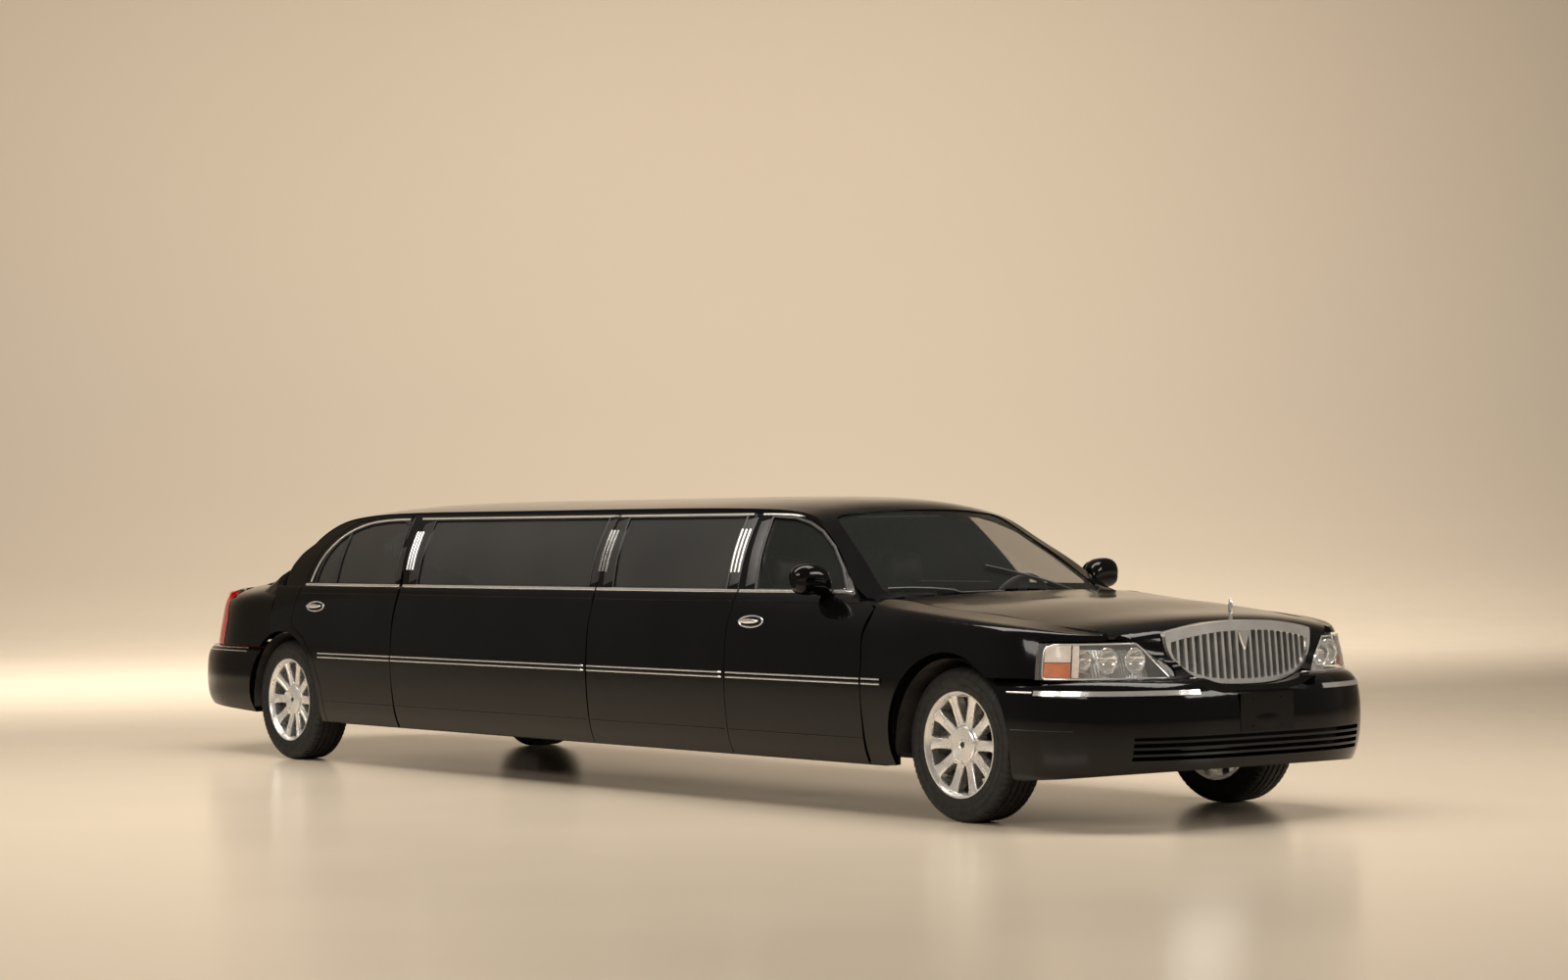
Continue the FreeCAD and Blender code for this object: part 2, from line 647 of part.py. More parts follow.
rear_wells = both_sides(rear_wheel_well)
for cutter in front_wells.Solids:
    front_bumper = biggest(front_bumper.cut(cutter))
for cutter in rear_wells.Solids:
    rear_bumper = biggest(rear_bumper.cut(cutter))


def corner_core(axle_x, sign, start, power, levels):
    """Everything inside a rounded corner: a filled loft of its level outlines."""
    wires = []
    for z, end, half in levels:
        line = [Vector(axle_x + sign * reach, y, z) for reach, y in corner_line(start, end, half, power)]
        wires.append(Part.Wire([smooth_edge(line), Part.makeLine(line[-1], line[0])]))
    return loft(wires)


MOUTH_DEPTH = 55
mouth_back = corner_core(FRONT_AXLE, 1, 200, 3.0, [
    (z, size("front_overhang") - inset - MOUTH_DEPTH, HALF - 4 - 0.7 * inset - MOUTH_DEPTH)
    for z, inset in FRONT_BUMPER[1:5]])
for z in (310, 339, 368, 397):
    slot = box(FRONT_AXLE + 700, FRONT_END + 50, -700, 700, z, z + 18)
    front_bumper = front_bumper.cut(slot.cut(mouth_back))
dip = [(-400, 720), (-384, 652), (-330, 610), (-250, 594), (250, 594), (330, 610), (384, 652), (400, 720)]
dip_wire = Part.makePolygon([Vector(FRONT_AXLE + 974, y, z) for y, z in dip + dip[:1]])
front_bumper = biggest(front_bumper.cut(Part.Face(dip_wire).extrude(Vector(200, 0, 0))))


def plate_pad(shell, face, sign, z):
    """A flat pad for the number plate, flush with the bumper's end, drilled for its four screws."""
    x0, x1 = sorted((face - sign * 60, face))
    shell = shell.fuse(box(x0, x1, -size("plate_pad_width") / 2, size("plate_pad_width") / 2,
                           z - size("plate_pad_height") / 2, z + size("plate_pad_height") / 2))
    for y in (-size("plate_hole_width") / 2, size("plate_hole_width") / 2):
        for height in (z - size("plate_hole_height") / 2, z + size("plate_hole_height") / 2):
            shell = shell.cut(Part.makeCylinder(size("plate_hole_radius"), 25, Vector(face, y, height),
                                                Vector(-sign, 0, 0)))
    return shell


# Grille: a chrome ring with upright bars, carried by the hood's nose


def grille_outline(shrink_top, shrink_side, shrink_bottom):
    half = size("grille_half_width") - shrink_side
    top = size("grille_top") - shrink_top
    low = size("grille_bottom") + shrink_bottom
    tall = top - low
    crown = [Vector(0, y * half, top - 46 * abs(y) ** 2.2) for y in (-1, -0.8, -0.5, -0.25, 0, 0.25, 0.5, 0.8, 1)]
    shoulder = crown[-1].z
    cup = []
    for i in range(13):
        angle = math.pi * i / 12
        across = math.copysign(abs(math.cos(angle)) ** 0.72, math.cos(angle))
        cup.append(Vector(0, half * across, shoulder - (shoulder - low) * math.sin(angle) ** 0.82))
    return Part.Wire([smooth_edge(crown), smooth_edge(cup)])


def grille_prism(shrink_top, shrink_side, shrink_bottom, x0, x1):
    face = Part.Face(grille_outline(shrink_top, shrink_side, shrink_bottom))
    face.translate(Vector(FRONT_AXLE + x0, 0, 0))
    return face.extrude(Vector(x1 - x0, 0, 0))


def grille_slab(front, depth):
    """An upright curved slab that the grille is cut from, leaning back a little."""
    radius = 2600
    slab = Part.makeCylinder(radius, 700, Vector(FRONT_AXLE + front - radius, 0, 400))
    core = Part.makeCylinder(radius - depth, 700, Vector(FRONT_AXLE + front - radius, 0, 400))
    slab = slab.cut(core).common(box(FRONT_AXLE, FRONT_END, -700, 700, 400, 1100))
    slab.rotate(Vector(FRONT_AXLE + front, 0, size("grille_bottom")), Vector(0, 1, 0), -5)
    return slab


ring = grille_prism(0, 0, 0, 700, 1100).cut(grille_prism(44, 24, 22, 690, 1110)).common(grille_slab(928, 66))
bars = []
spacing = 2 * (size("grille_half_width") - 10) / size("grille_bars")
for i in range(int(size("grille_bars"))):
    y = (i - (size("grille_bars") - 1) / 2) * spacing
    bar = box(FRONT_AXLE + 700, FRONT_AXLE + 1100, y - 7, y + 7, 600, 950)
    bars.append(bar.common(grille_prism(40, 20, 18, 690, 1110)).common(grille_slab(916, 34)))
grille = biggest(ring.fuse(bars))
grille_space = grille_prism(-4, -4, -4, 500, 1400)
hood = biggest(hood_panel.cut(cowl_edge(0)).cut(grille_prism(-0.3, -0.3, -0.3, 760, 1200)))
front_bumper = biggest(front_bumper.cut(grille_space))
front_bumper = plate_pad(front_bumper, FRONT_END, 1, size("front_plate_height"))
rear_bumper = plate_pad(rear_bumper, REAR_END, -1, size("rear_plate_height"))
publish("hood", hood)
publish("grille", grille)
publish("front_bumper", front_bumper)
publish("rear_bumper", rear_bumper)

# Lamps


def nose_end(z):
    return size("nose_reach") - 0.33 * max(0.0, z - 672)


def tail_end(z):
    return size("tail_reach") - 0.31 * (z - 880)


def lamp_shell(axle_x, sign, start, power, heights, end_of, inset, wall):
    levels = [(z, end_of(z), HALF - blend(z, SIDE_INSET) - inset) for z in heights]
    return corner_shell(axle_x, sign, start, power, levels, wall)


head_shell = lamp_shell(FRONT_AXLE, 1, 250, 2.8, (size("bumper_top") + 0.3, 700, 740, 780, size("lamp_top")),
                        nose_end, 0, 70)
headlamp = head_shell.common(box(FRONT_AXLE + 562, FRONT_END, 395, HALF + 50, 500, 1000))
headlamp = biggest(headlamp.cut(hood_cutter).cut(grille_space))
tail_shell = lamp_shell(REAR_AXLE, -1, 400, 2.7, (size("rear_bumper_top") + 0.3, 735, 815, 895, 975),
                        tail_end, 14, 60)
lamp_front = [(REAR_AXLE - 785, 1000), (REAR_AXLE - 920, size("rear_bumper_top")),
              (REAR_END, size("rear_bumper_top")), (REAR_END, 1000)]
taillamp = biggest(tail_shell.common(straight_prism(lamp_front, 540, HALF + 50)).cut(trunk_cutter))
publish("headlamps", both_sides(headlamp))
publish("taillamps", both_sides(taillamp))

# Ornament, mirrors, handles and pillar bars


def spheroid(centre, radii):
    ball = Part.makeSphere(1)
    matrix = FreeCAD.Matrix()
    matrix.scale(*radii)
    shape = ball.transformGeometry(matrix)
    shape.translate(centre)
    return shape


ornament_x = FRONT_AXLE + 818
hood_space = cross_panel(HOOD, HOOD_WALL + 60, PANEL_POWER, 0, 0.3)
ornament = Part.makeCylinder(9, 50, Vector(ornament_x, 0, 885)).cut(hood_space)
ornament = biggest(ornament.fuse(spheroid(Vector(ornament_x, 0, 962), (13, 6, 40))))
publish("hood_ornament", ornament)

mirror_x = FRONT_AXLE - 1044


def mirror_ring(y, x, z, long, tall):
    points = []
    for i in range(12):
        angle = 2 * math.pi * i / 12
        cos, sin = math.cos(angle), math.sin(angle)
        points.append(Vector(x + long * math.copysign(abs(cos) ** 0.7, cos), y,
                             z + tall * math.copysign(abs(sin) ** 0.7, sin)))
    curve = Part.BSplineCurve()
    curve.interpolate(Points=points, PeriodicFlag=True)
    return Part.Wire(curve.toShape())


mirror_shell = loft([mirror_ring(y, mirror_x + shift, z, long, tall) for y, shift, z, long, tall in
                     ((846, 14, 1056, 36, 44), (870, 8, 1078, 52, 66), (934, 2, 1092, 58, 76),
                      (1000, 0, 1092, 52, 68), (1036, 0, 1090, 26, 38))])
mirror_arm = box(mirror_x - 8, mirror_x + 42, 800, 860, 1020, 1042)
mirror = biggest(mirror_shell.fuse(mirror_arm).cut(front_door).cut(front_door_glass))


def door_handle(behind, z):
    """A pull bar on two posts, standing a little off the door skin."""
    x = FRONT_AXLE - behind
    skin = side_half_width(x, z)
    bar = spheroid(Vector(x, skin + 20, z), (78, 9, 12))
    posts = [Part.makeCylinder(6, 26, Vector(x + shift, skin - 6, z), Vector(0, 1, 0)) for shift in (-55, 55)]
    return bar.fuse(posts)


front_handle = door_handle(1474, 888)
rear_handle = door_handle(5675, 908)

bars = []
for low_centre, high_centre in ((1760, 1850), (2855, 2915), (4762, 4838)):
    for step in (-28, 0, 28):
        wires = []
        for share in (0, 0.25, 0.5, 0.75, 1):
            x = FRONT_AXLE - low_centre - step - share * (high_centre - low_centre)
            z = 1122 + share * 212
            foot = Vector(x, frame_half_width(x, z) + 1, z)
            corners = [foot + Vector(-6, 0, 0), foot + Vector(6, 0, 0), foot + Vector(4, 7, 0), foot + Vector(-4, 7, 0)]
            wires.append(Part.makePolygon(corners + corners[:1]))
        bars.append(loft(wires, True))
bar_set = Part.makeCompound([biggest(bar.cut([panel_front, panel_rear])) for bar in bars])
publish("pillar_bars", Part.makeCompound([bar_set, mirrored(bar_set)]))

front_door = front_door.cut(front_handle)
rear_door = rear_door.cut(rear_handle)
for side, place in SIDES:
    publish("door_front_" + side, place(front_door))
    publish("door_rear_" + side, place(rear_door))
    publish("mirror_" + side, place(mirror))
    publish("handle_front_" + side, place(front_handle))
    publish("handle_rear_" + side, place(rear_handle))


# Wheels, as turned bodies with a pattern of windows

def plane_of(body, role):
    return next(item for item in body.Origin.OriginFeatures if item.Role == role)


def closed_sketch(body, name, role, points):
    sketch = body.newObject("Sketcher::SketchObject", name)
    sketch.AttachmentSupport = [(plane_of(body, role), "")]
    sketch.MapMode = "FlatFace"
    count = len(points)
    for i in range(count):
        a = Vector(points[i][0], points[i][1], 0)
        b = Vector(points[(i + 1) % count][0], points[(i + 1) % count][1], 0)
        sketch.addGeometry(Part.LineSegment(a, b), False)
    return sketch


def turned(label, points):
    body = doc.addObject("PartDesign::Body", label)
    body.Label = label
    sketch = closed_sketch(body, label + "_profile", "YZ_Plane", points)
    turn = body.newObject("PartDesign::Revolution", label + "_turn")
    turn.Profile = sketch
    turn.ReferenceAxis = (sketch, ["H_Axis"])
    turn.Angle = 360
    body.Tip = turn
    return body


def make_tyre(label):
    radius = size("tyre_radius")
    half = size("tyre_width") / 2
    bead = size("bead_radius")
    profile = [(half - 8, bead + 0.3), (half, radius - 60), (half - 7, radius - 18), (half - 26, radius),
               (26 - half, radius), (7 - half, radius - 18), (-half, radius - 60), (8 - half, bead + 0.3)]
    return turned(label, profile)


def make_rim(label):
    radius = size("rim_radius")
    half = size("rim_width") / 2
    hub = size("hub_radius")
    profile = [(0, 0), (84, 0), (82, 45), (74, hub - 6), (70, hub), (66, 120), (80, radius - 22),
               (half - 2, radius - 8), (half, radius), (-half, radius), (-half, radius - 16),
               (40, radius - 22), (30, radius - 50), (34, 110), (8, 96), (0, 80)]
    body = turned(label, profile)
    inner = hub + 8
    outer = radius - 24
    wedge = math.pi / size("spoke_count")
    half_spoke = 25
    wide = outer * math.tan(wedge) - half_spoke
    sketch = closed_sketch(body, label + "_window", "XZ_Plane",
                           [(-5, inner), (5, inner), (wide, outer - 8), (wide - 6, outer), (6 - wide, outer),
                            (-wide, outer - 8)])
    pocket = body.newObject("PartDesign::Pocket", label + "_pocket")
    pocket.Profile = sketch
    pocket.Type = "ThroughAll"
    pocket.Midplane = True
    ring = body.newObject("PartDesign::PolarPattern", label + "_windows")
    ring.Originals = [pocket]
    ring.Axis = (plane_of(body, "Y_Axis"), [""])
    ring.Angle = 360
    ring.Occurrences = int(size("spoke_count"))
    body.Tip = ring
    return body


for axle, axle_x, track in (("front", FRONT_AXLE, size("front_track")), ("rear", REAR_AXLE, size("rear_track"))):
    for side, sign in (("left", 1), ("right", -1)):
        turn = Rotation(Vector(0, 0, 1), 0 if sign > 0 else 180)
        place = Placement(Vector(axle_x, sign * track / 2, AXLE_HEIGHT), turn)
        for make, kind in ((make_rim, "rim"), (make_tyre, "tyre")):
            body = make("%s_%s_%s" % (kind, axle, side))
            body.Placement = place

doc.recompute()

# Running gear


def knuckle_shape():
    kingpin = size("front_track") / 2 - size("kingpin_inset")
    wheel_face = size("front_track") / 2
    post = cylinder_z(24, FRONT_AXLE, kingpin, AXLE_HEIGHT - 105, AXLE_HEIGHT + 105)
    carrier = cylinder_y(56, FRONT_AXLE, AXLE_HEIGHT, kingpin - 20, wheel_face - 0.4)
    disc = cylinder_y(158, FRONT_AXLE, AXLE_HEIGHT, wheel_face - 34, wheel_face - 10)
    return post.fuse([carrier, disc])


def front_suspension():
    kingpin = size("front_track") / 2 - size("kingpin_inset")
    rail = size("rail_spacing") + 45
    low = AXLE_HEIGHT - 105.4
    high = AXLE_HEIGHT + 105.4
    arms = []
    for z0, z1, spread in ((low - 26, low, 190), (high, high + 22, 120)):
        corners = [Vector(FRONT_AXLE - spread, rail - 50, z0), Vector(FRONT_AXLE + spread, rail - 50, z0),
                   Vector(FRONT_AXLE + 26, kingpin + 8, z0), Vector(FRONT_AXLE - 26, kingpin + 8, z0)]
        arms.append(Part.Face(Part.makePolygon(corners + corners[:1])).extrude(Vector(0, 0, z1 - z0)))
    upper = arms[1].cut(box(FRONT_AXLE - 400, FRONT_AXLE + 400, 0, rail - 2.7, 300, 600))
    beam = box(FRONT_AXLE - 70, FRONT_AXLE + 70, 0, rail - 30, low - 30, 299.7)
    tower = box(FRONT_AXLE - 60, FRONT_AXLE + 60, rail - 80, rail - 10, 290, 419.7)
    half = beam.fuse([arms[0], tower])
    lower = half.fuse(mirrored(half)).removeSplitter()
    return Part.makeCompound([lower, upper, mirrored(upper)])


def rear_axle():
    face = size("rear_track") / 2
    tube = cylinder_y(42, REAR_AXLE, AXLE_HEIGHT, -face + 0.4, face - 0.4)
    case = spheroid(Vector(REAR_AXLE, 0, AXLE_HEIGHT), (150, 130, 130))
    discs = [cylinder_y(150, REAR_AXLE, AXLE_HEIGHT, sign * face - 11 - sign * 23, sign * face + 11 - sign * 23)
             for sign in (1, -1)]
    perches = [cylinder_z(40, REAR_AXLE, y, AXLE_HEIGHT, 449.7) for y in (-430, 430)]
    return case.fuse([tube] + discs + perches)


knuckle = knuckle_shape()
for side, place in SIDES:
    publish("knuckle_" + side, place(knuckle))
publish("front_suspension", front_suspension())
publish("rear_axle", rear_axle())

# Chassis, floor and cabin

FIREWALL = FRONT_AXLE - 560
REAR_SEAT_X = REAR_AXLE + 120
floor_low = size("floor_height") - size("floor_wall")
sill = size("sill_half_width") - 0.3


def chassis():
    spacing = size("rail_spacing")
    rails = []
    for y in (-spacing, spacing):
        path = [(FRONT_AXLE + 905, 420), (FRONT_AXLE + 905, 520), (FRONT_AXLE + 300, 520), (FRONT_AXLE - 300, 520),
                (FRONT_AXLE - 620, floor_low), (REAR_AXLE + 560, floor_low), (REAR_AXLE + 300, 560),
                (REAR_AXLE - 300, 560), (REAR_AXLE - 1240, 500), (REAR_AXLE - 1240, 400),
                (REAR_AXLE - 300, 450), (REAR_AXLE + 250, 450), (REAR_AXLE + 480, 230),
                (FRONT_AXLE - 560, 230), (FRONT_AXLE - 240, 420)]
        rails.append(straight_prism(path, y - 42, y + 42))
    floor = box(REAR_AXLE + 540, FIREWALL, -sill, sill, floor_low, floor_low + size("floor_wall"))
    sills = [box(REAR_AXLE + 500, FIREWALL, min(a, b), max(a, b), 228, floor_low + 40)
             for a, b in ((sill - 90, sill), (90 - sill, -sill))]
    firewall = box(FIREWALL - 18, FIREWALL, -sill + 60, sill - 60, floor_low, 930)
    heel = box(REAR_AXLE + 520, REAR_AXLE + 540, -560, 560, floor_low, 580)
    deck = box(REAR_AXLE - 1230, REAR_AXLE + 540, -560, 560, 560, 580)
    crossings = [box(x - 40, x + 40, -spacing, spacing, 236, 300) for x in (FRONT_AXLE - 900, 200, REAR_AXLE + 700)]
    return floor.fuse(rails + sills + [firewall, heel, deck] + crossings).removeSplitter()


exhaust_y = -250
exhaust_z = 262


def exhaust_run(extra):
    run = Part.makeCylinder(30 + extra, 4700, Vector(FRONT_AXLE - 600, exhaust_y, exhaust_z), Vector(-1, 0, 0))
    muffler = Part.makeCylinder(75 + extra, 520, Vector(-300, exhaust_y, exhaust_z), Vector(-1, 0, 0))
    return run.fuse(muffler)


frame_shape = chassis().cut(front_bumper).cut(rear_bumper).cut(exhaust_run(0.3))
frame_shape = biggest(frame_shape)
publish("floor_frame", frame_shape)


def bound_box(label, length, width, height, x, y, z):
    """A plain box whose sizes and place are bound to cells of the sheet."""
    feature = doc.addObject("Part::Box", label)
    feature.Label = label
    row_number = len(SIZES) + 1 + 6 * bound_box.count
    bound_box.count += 1
    for i, (name, value) in enumerate((("Length", length), ("Width", width), ("Height", height))):
        alias = label + "_" + name.lower()
        sheet.set("A%d" % (row_number + i), alias)
        sheet.set("B%d" % (row_number + i), str(value))
        sheet.setAlias("B%d" % (row_number + i), alias)
        feature.setExpression(name, "Sizes." + alias)
    feature.Placement = Placement(Vector(x, y, z), Rotation())
    return feature


bound_box.count = 0
bound_box("engine", 640, 560, 470, FRONT_AXLE - 300, -280, 300)
bound_box("fuel_tank", 380, 620, 200, REAR_AXLE - 1120, -310, 359.7)
bound_box("partition", 40, 1240, 1040, FRONT_AXLE - 2140, -620, size("floor_height") + 0.3)


def seat(x, y, z, width, depth, cushion, back, lean):
    pad = box(x, x + depth, y - width / 2, y + width / 2, z, z + cushion)
    angle = math.radians(lean)
    rest = Part.makeBox(130, width, back, Vector(0, y - width / 2, 0))
    rest.rotate(Vector(0, 0, 0), Vector(0, 1, 0), -lean)
    rest.translate(Vector(x + 20, 0, z + cushion - 60))
    return pad.fuse(rest).removeSplitter()


seat_floor = size("floor_height") + 0.3
front_seats = []
for y in (-370, 370):
    chair = seat(FRONT_AXLE - 1820, y, seat_floor + 60, 500, 500, 190, 560, 18)
    base = box(FRONT_AXLE - 1780, FRONT_AXLE - 1380, y - 200, y + 200, seat_floor, seat_floor + 60)
    head = box(FRONT_AXLE - 1985, FRONT_AXLE - 1885, y - 130, y + 130, 1030, 1210)
    front_seats.append(chair.fuse([base, head]))
publish("front_seats", Part.makeCompound(front_seats))
publish("rear_seat", seat(REAR_AXLE + 580, 0, seat_floor, 1300, 520, 260, 600, 20))

dash_profile = [(FIREWALL - 18.3, 700), (FIREWALL - 18.3, 925), (FIREWALL - 80, 965), (FIREWALL - 220, 975), (FIREWALL - 360, 930),
                (FIREWALL - 380, 820), (FIREWALL - 300, 700)]
wheel_centre = Vector(FIREWALL - 480, 370, 925)
steering = Part.makeTorus(178, 14)
spokes = Part.makeBox(320, 40, 16, Vector(-160, -20, -8)).fuse(Part.makeCylinder(45, 40, Vector(0, 0, -20)))
column = Part.makeCylinder(24, 120, Vector(0, 0, -130))
steering = steering.fuse([spokes, column])
steering.rotate(Vector(0, 0, 0), Vector(0, 1, 0), -65)
steering.translate(wheel_centre)
publish("steering_wheel", steering)

# Cowl: the black panel between the hood and the windshield

COWL = [(-370, 1004, 0, 770, 30), (-480, 1010, 0, 775, 30), (-600, 1014, 0, 730, 32), (-720, 1016, 0, 722, 34),
        (-860, 1016, 0, 722, 40)]
COWL_WALL = 14
cowl_seat = cross_panel(COWL, COWL_WALL + 1, PANEL_POWER, 6, 60)
publish("dashboard", biggest(straight_prism(dash_profile, -725, 725).cut(steering).cut(cowl_seat)))
cowl = cross_panel(COWL, COWL_WALL, PANEL_POWER)
web = box(FIREWALL - 18, FIREWALL, -700, 700, 930.3, 990)
below_glass = cross_panel(TOP_SHELL[:5], 500, PANEL_POWER, 60, -4)
cowl = cowl.cut(below_glass).fuse(web.cut(below_glass))
hood_edge_space = hood_cutter.cut(cowl_edge(SHUT))
fender_space = both_sides(box(FRONT_AXLE - 900, FRONT_AXLE - 590, 714, 900, 900, 1100))
cowl = biggest(cowl.cut(hood_edge_space).cut(fender_space))
publish("cowl", cowl)

publish("exhaust", exhaust_run(0))

doc.recompute()

os.makedirs("parts", exist_ok=True)
top_level = [item for item in doc.Objects
             if item.TypeId in ("Part::Feature", "PartDesign::Body", "Part::Box")]
for item in doc.Objects:
    if "Invalid" in item.State or "Error" in item.State:
        raise RuntimeError("failed object: " + item.Label)
for item in top_level:
    if item.Shape.isNull() or not item.Shape.isValid():
        raise RuntimeError("bad shape: " + item.Label)
for item in top_level:
    item.Shape.exportStep(os.path.join("parts", item.Label + ".step"))
print("parts written:", len(top_level))
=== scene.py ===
import json
import math

import bmesh
import bpy
from mathutils import Matrix, Vector
from mathutils.bvhtree import BVHTree

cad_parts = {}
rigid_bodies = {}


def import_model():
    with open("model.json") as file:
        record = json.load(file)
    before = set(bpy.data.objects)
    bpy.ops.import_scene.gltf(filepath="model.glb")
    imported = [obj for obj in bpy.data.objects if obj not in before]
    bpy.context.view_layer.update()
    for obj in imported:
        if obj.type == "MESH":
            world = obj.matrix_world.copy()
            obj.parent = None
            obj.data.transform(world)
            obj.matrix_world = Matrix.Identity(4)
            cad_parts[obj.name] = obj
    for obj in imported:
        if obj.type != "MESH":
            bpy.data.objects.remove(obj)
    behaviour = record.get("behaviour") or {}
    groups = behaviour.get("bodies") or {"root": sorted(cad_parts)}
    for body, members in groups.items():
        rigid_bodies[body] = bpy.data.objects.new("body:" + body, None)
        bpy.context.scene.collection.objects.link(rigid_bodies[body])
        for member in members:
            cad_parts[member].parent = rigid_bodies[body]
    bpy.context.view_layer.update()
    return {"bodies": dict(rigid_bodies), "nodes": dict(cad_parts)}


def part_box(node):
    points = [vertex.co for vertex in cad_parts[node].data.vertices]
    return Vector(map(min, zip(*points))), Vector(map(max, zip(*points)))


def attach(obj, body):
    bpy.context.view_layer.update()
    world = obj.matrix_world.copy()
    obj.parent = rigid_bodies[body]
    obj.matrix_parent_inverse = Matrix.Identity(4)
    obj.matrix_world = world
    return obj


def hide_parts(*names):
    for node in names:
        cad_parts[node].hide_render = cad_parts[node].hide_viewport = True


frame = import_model()
NODES = frame["nodes"]
SIDES = (("left", 1), ("right", -1))


def centre(node):
    low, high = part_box(node)
    return (low + high) / 2


def place_object(name, data):
    """A new object in the scene."""
    item = bpy.data.objects.new(name, data)
    bpy.context.scene.collection.objects.link(item)
    return item


FRONT_AXLE = centre("tyre_front_left").x
REAR_AXLE = centre("tyre_rear_left").x

# Camera, fitted to the photograph

CAMERA_PLACE = Vector((15.003, -10.974, 1.3525))
CAMERA_YAW = math.radians(142.375)
CAMERA_PITCH = math.radians(-0.582)
CAMERA_ROLL = math.radians(-0.582)
FOCAL_PIXELS = 3498.6
IMAGE_WIDTH = 1600


def make_camera():
    look = Vector((math.cos(CAMERA_YAW) * math.cos(CAMERA_PITCH),
                   math.sin(CAMERA_YAW) * math.cos(CAMERA_PITCH),
                   -math.sin(CAMERA_PITCH)))
    right = look.cross(Vector((0, 0, 1))).normalized()
    up = right.cross(look)
    turned_right = right * math.cos(CAMERA_ROLL) + up * math.sin(CAMERA_ROLL)
    turned_up = up * math.cos(CAMERA_ROLL) - right * math.sin(CAMERA_ROLL)
    data = bpy.data.cameras.new("camera")
    data.sensor_width = 36
    data.lens = FOCAL_PIXELS / IMAGE_WIDTH * data.sensor_width
    data.clip_end = 300
    camera = place_object("camera", data)
    matrix = Matrix((turned_right, turned_up, -look)).transposed().to_4x4()
    matrix.translation = CAMERA_PLACE
    camera.matrix_world = matrix
    bpy.context.scene.camera = camera


# Materials


class Finish:
    """A Principled material with helpers for procedural colour, roughness and bump."""

    def __init__(self, name, **settings):
        self.material = bpy.data.materials.new(name)
        self.material.use_nodes = True
        self.tree = self.material.node_tree
        self.shader = self.tree.nodes["Principled BSDF"]
        for key, value in settings.items():
            self.shader.inputs[key.replace("_", " ")].default_value = value

    def texture(self, kind, output, **settings):
        """A texture of the object's own coordinates."""
        node = self.tree.nodes.new(kind)
        for key, value in settings.items():
            node.inputs[key].default_value = value
        place = self.tree.nodes.new("ShaderNodeTexCoord").outputs["Object"]
        self.tree.links.new(place, node.inputs["Vector"])
        return node, node.outputs[output]

    def noise(self, scale, detail):
        return self.texture("ShaderNodeTexNoise", "Fac", Scale=scale, Detail=detail)[1]

    def tint(self, scale, detail, low, high, start=0.3, end=0.7):
        """Base colour between two colours, by noise."""
        ramp = self.tree.nodes.new("ShaderNodeValToRGB")
        first, last = ramp.color_ramp.elements
        first.position = start
        last.position = end
        first.color = (*low, 1)
        last.color = (*high, 1)
        self.tree.links.new(self.noise(scale, detail), ramp.inputs["Fac"])
        self.tree.links.new(ramp.outputs["Color"], self.shader.inputs["Base Color"])
        return self

    def rough(self, scale, detail, low, high):
        """Roughness between two values, by noise."""
        span = self.tree.nodes.new("ShaderNodeMapRange")
        for key, value in (("From Min", 0.3), ("From Max", 0.7), ("To Min", low), ("To Max", high)):
            span.inputs[key].default_value = value
        self.tree.links.new(self.noise(scale, detail), span.inputs["Value"])
        self.tree.links.new(span.outputs["Result"], self.shader.inputs["Roughness"])
        return self

    def bump(self, source, strength, distance):
        node = self.tree.nodes.new("ShaderNodeBump")
        node.inputs["Strength"].default_value = strength
        node.inputs["Distance"].default_value = distance
        self.tree.links.new(source, node.inputs["Height"])
        previous = self.shader.inputs["Normal"].links
        if previous:
            self.tree.links.new(previous[0].from_socket, node.inputs["Normal"])
        self.tree.links.new(node.outputs["Normal"], self.shader.inputs["Normal"])
        return self

    def grain(self, scale, detail, strength, distance):
        return self.bump(self.noise(scale, detail), strength, distance)

    def pebbles(self, scale, strength, distance):
        return self.bump(self.texture("ShaderNodeTexVoronoi", "Distance", Scale=scale)[1], strength, distance)

    def ribs(self, scale, direction, strength, distance):
        node, source = self.texture("ShaderNodeTexWave", "Fac", Scale=scale)
        node.bands_direction = direction
        return self.bump(source, strength, distance)

    def glow(self, colour):
        self.shader.inputs["Emission Color"].default_value = (*colour, 1)
        return self


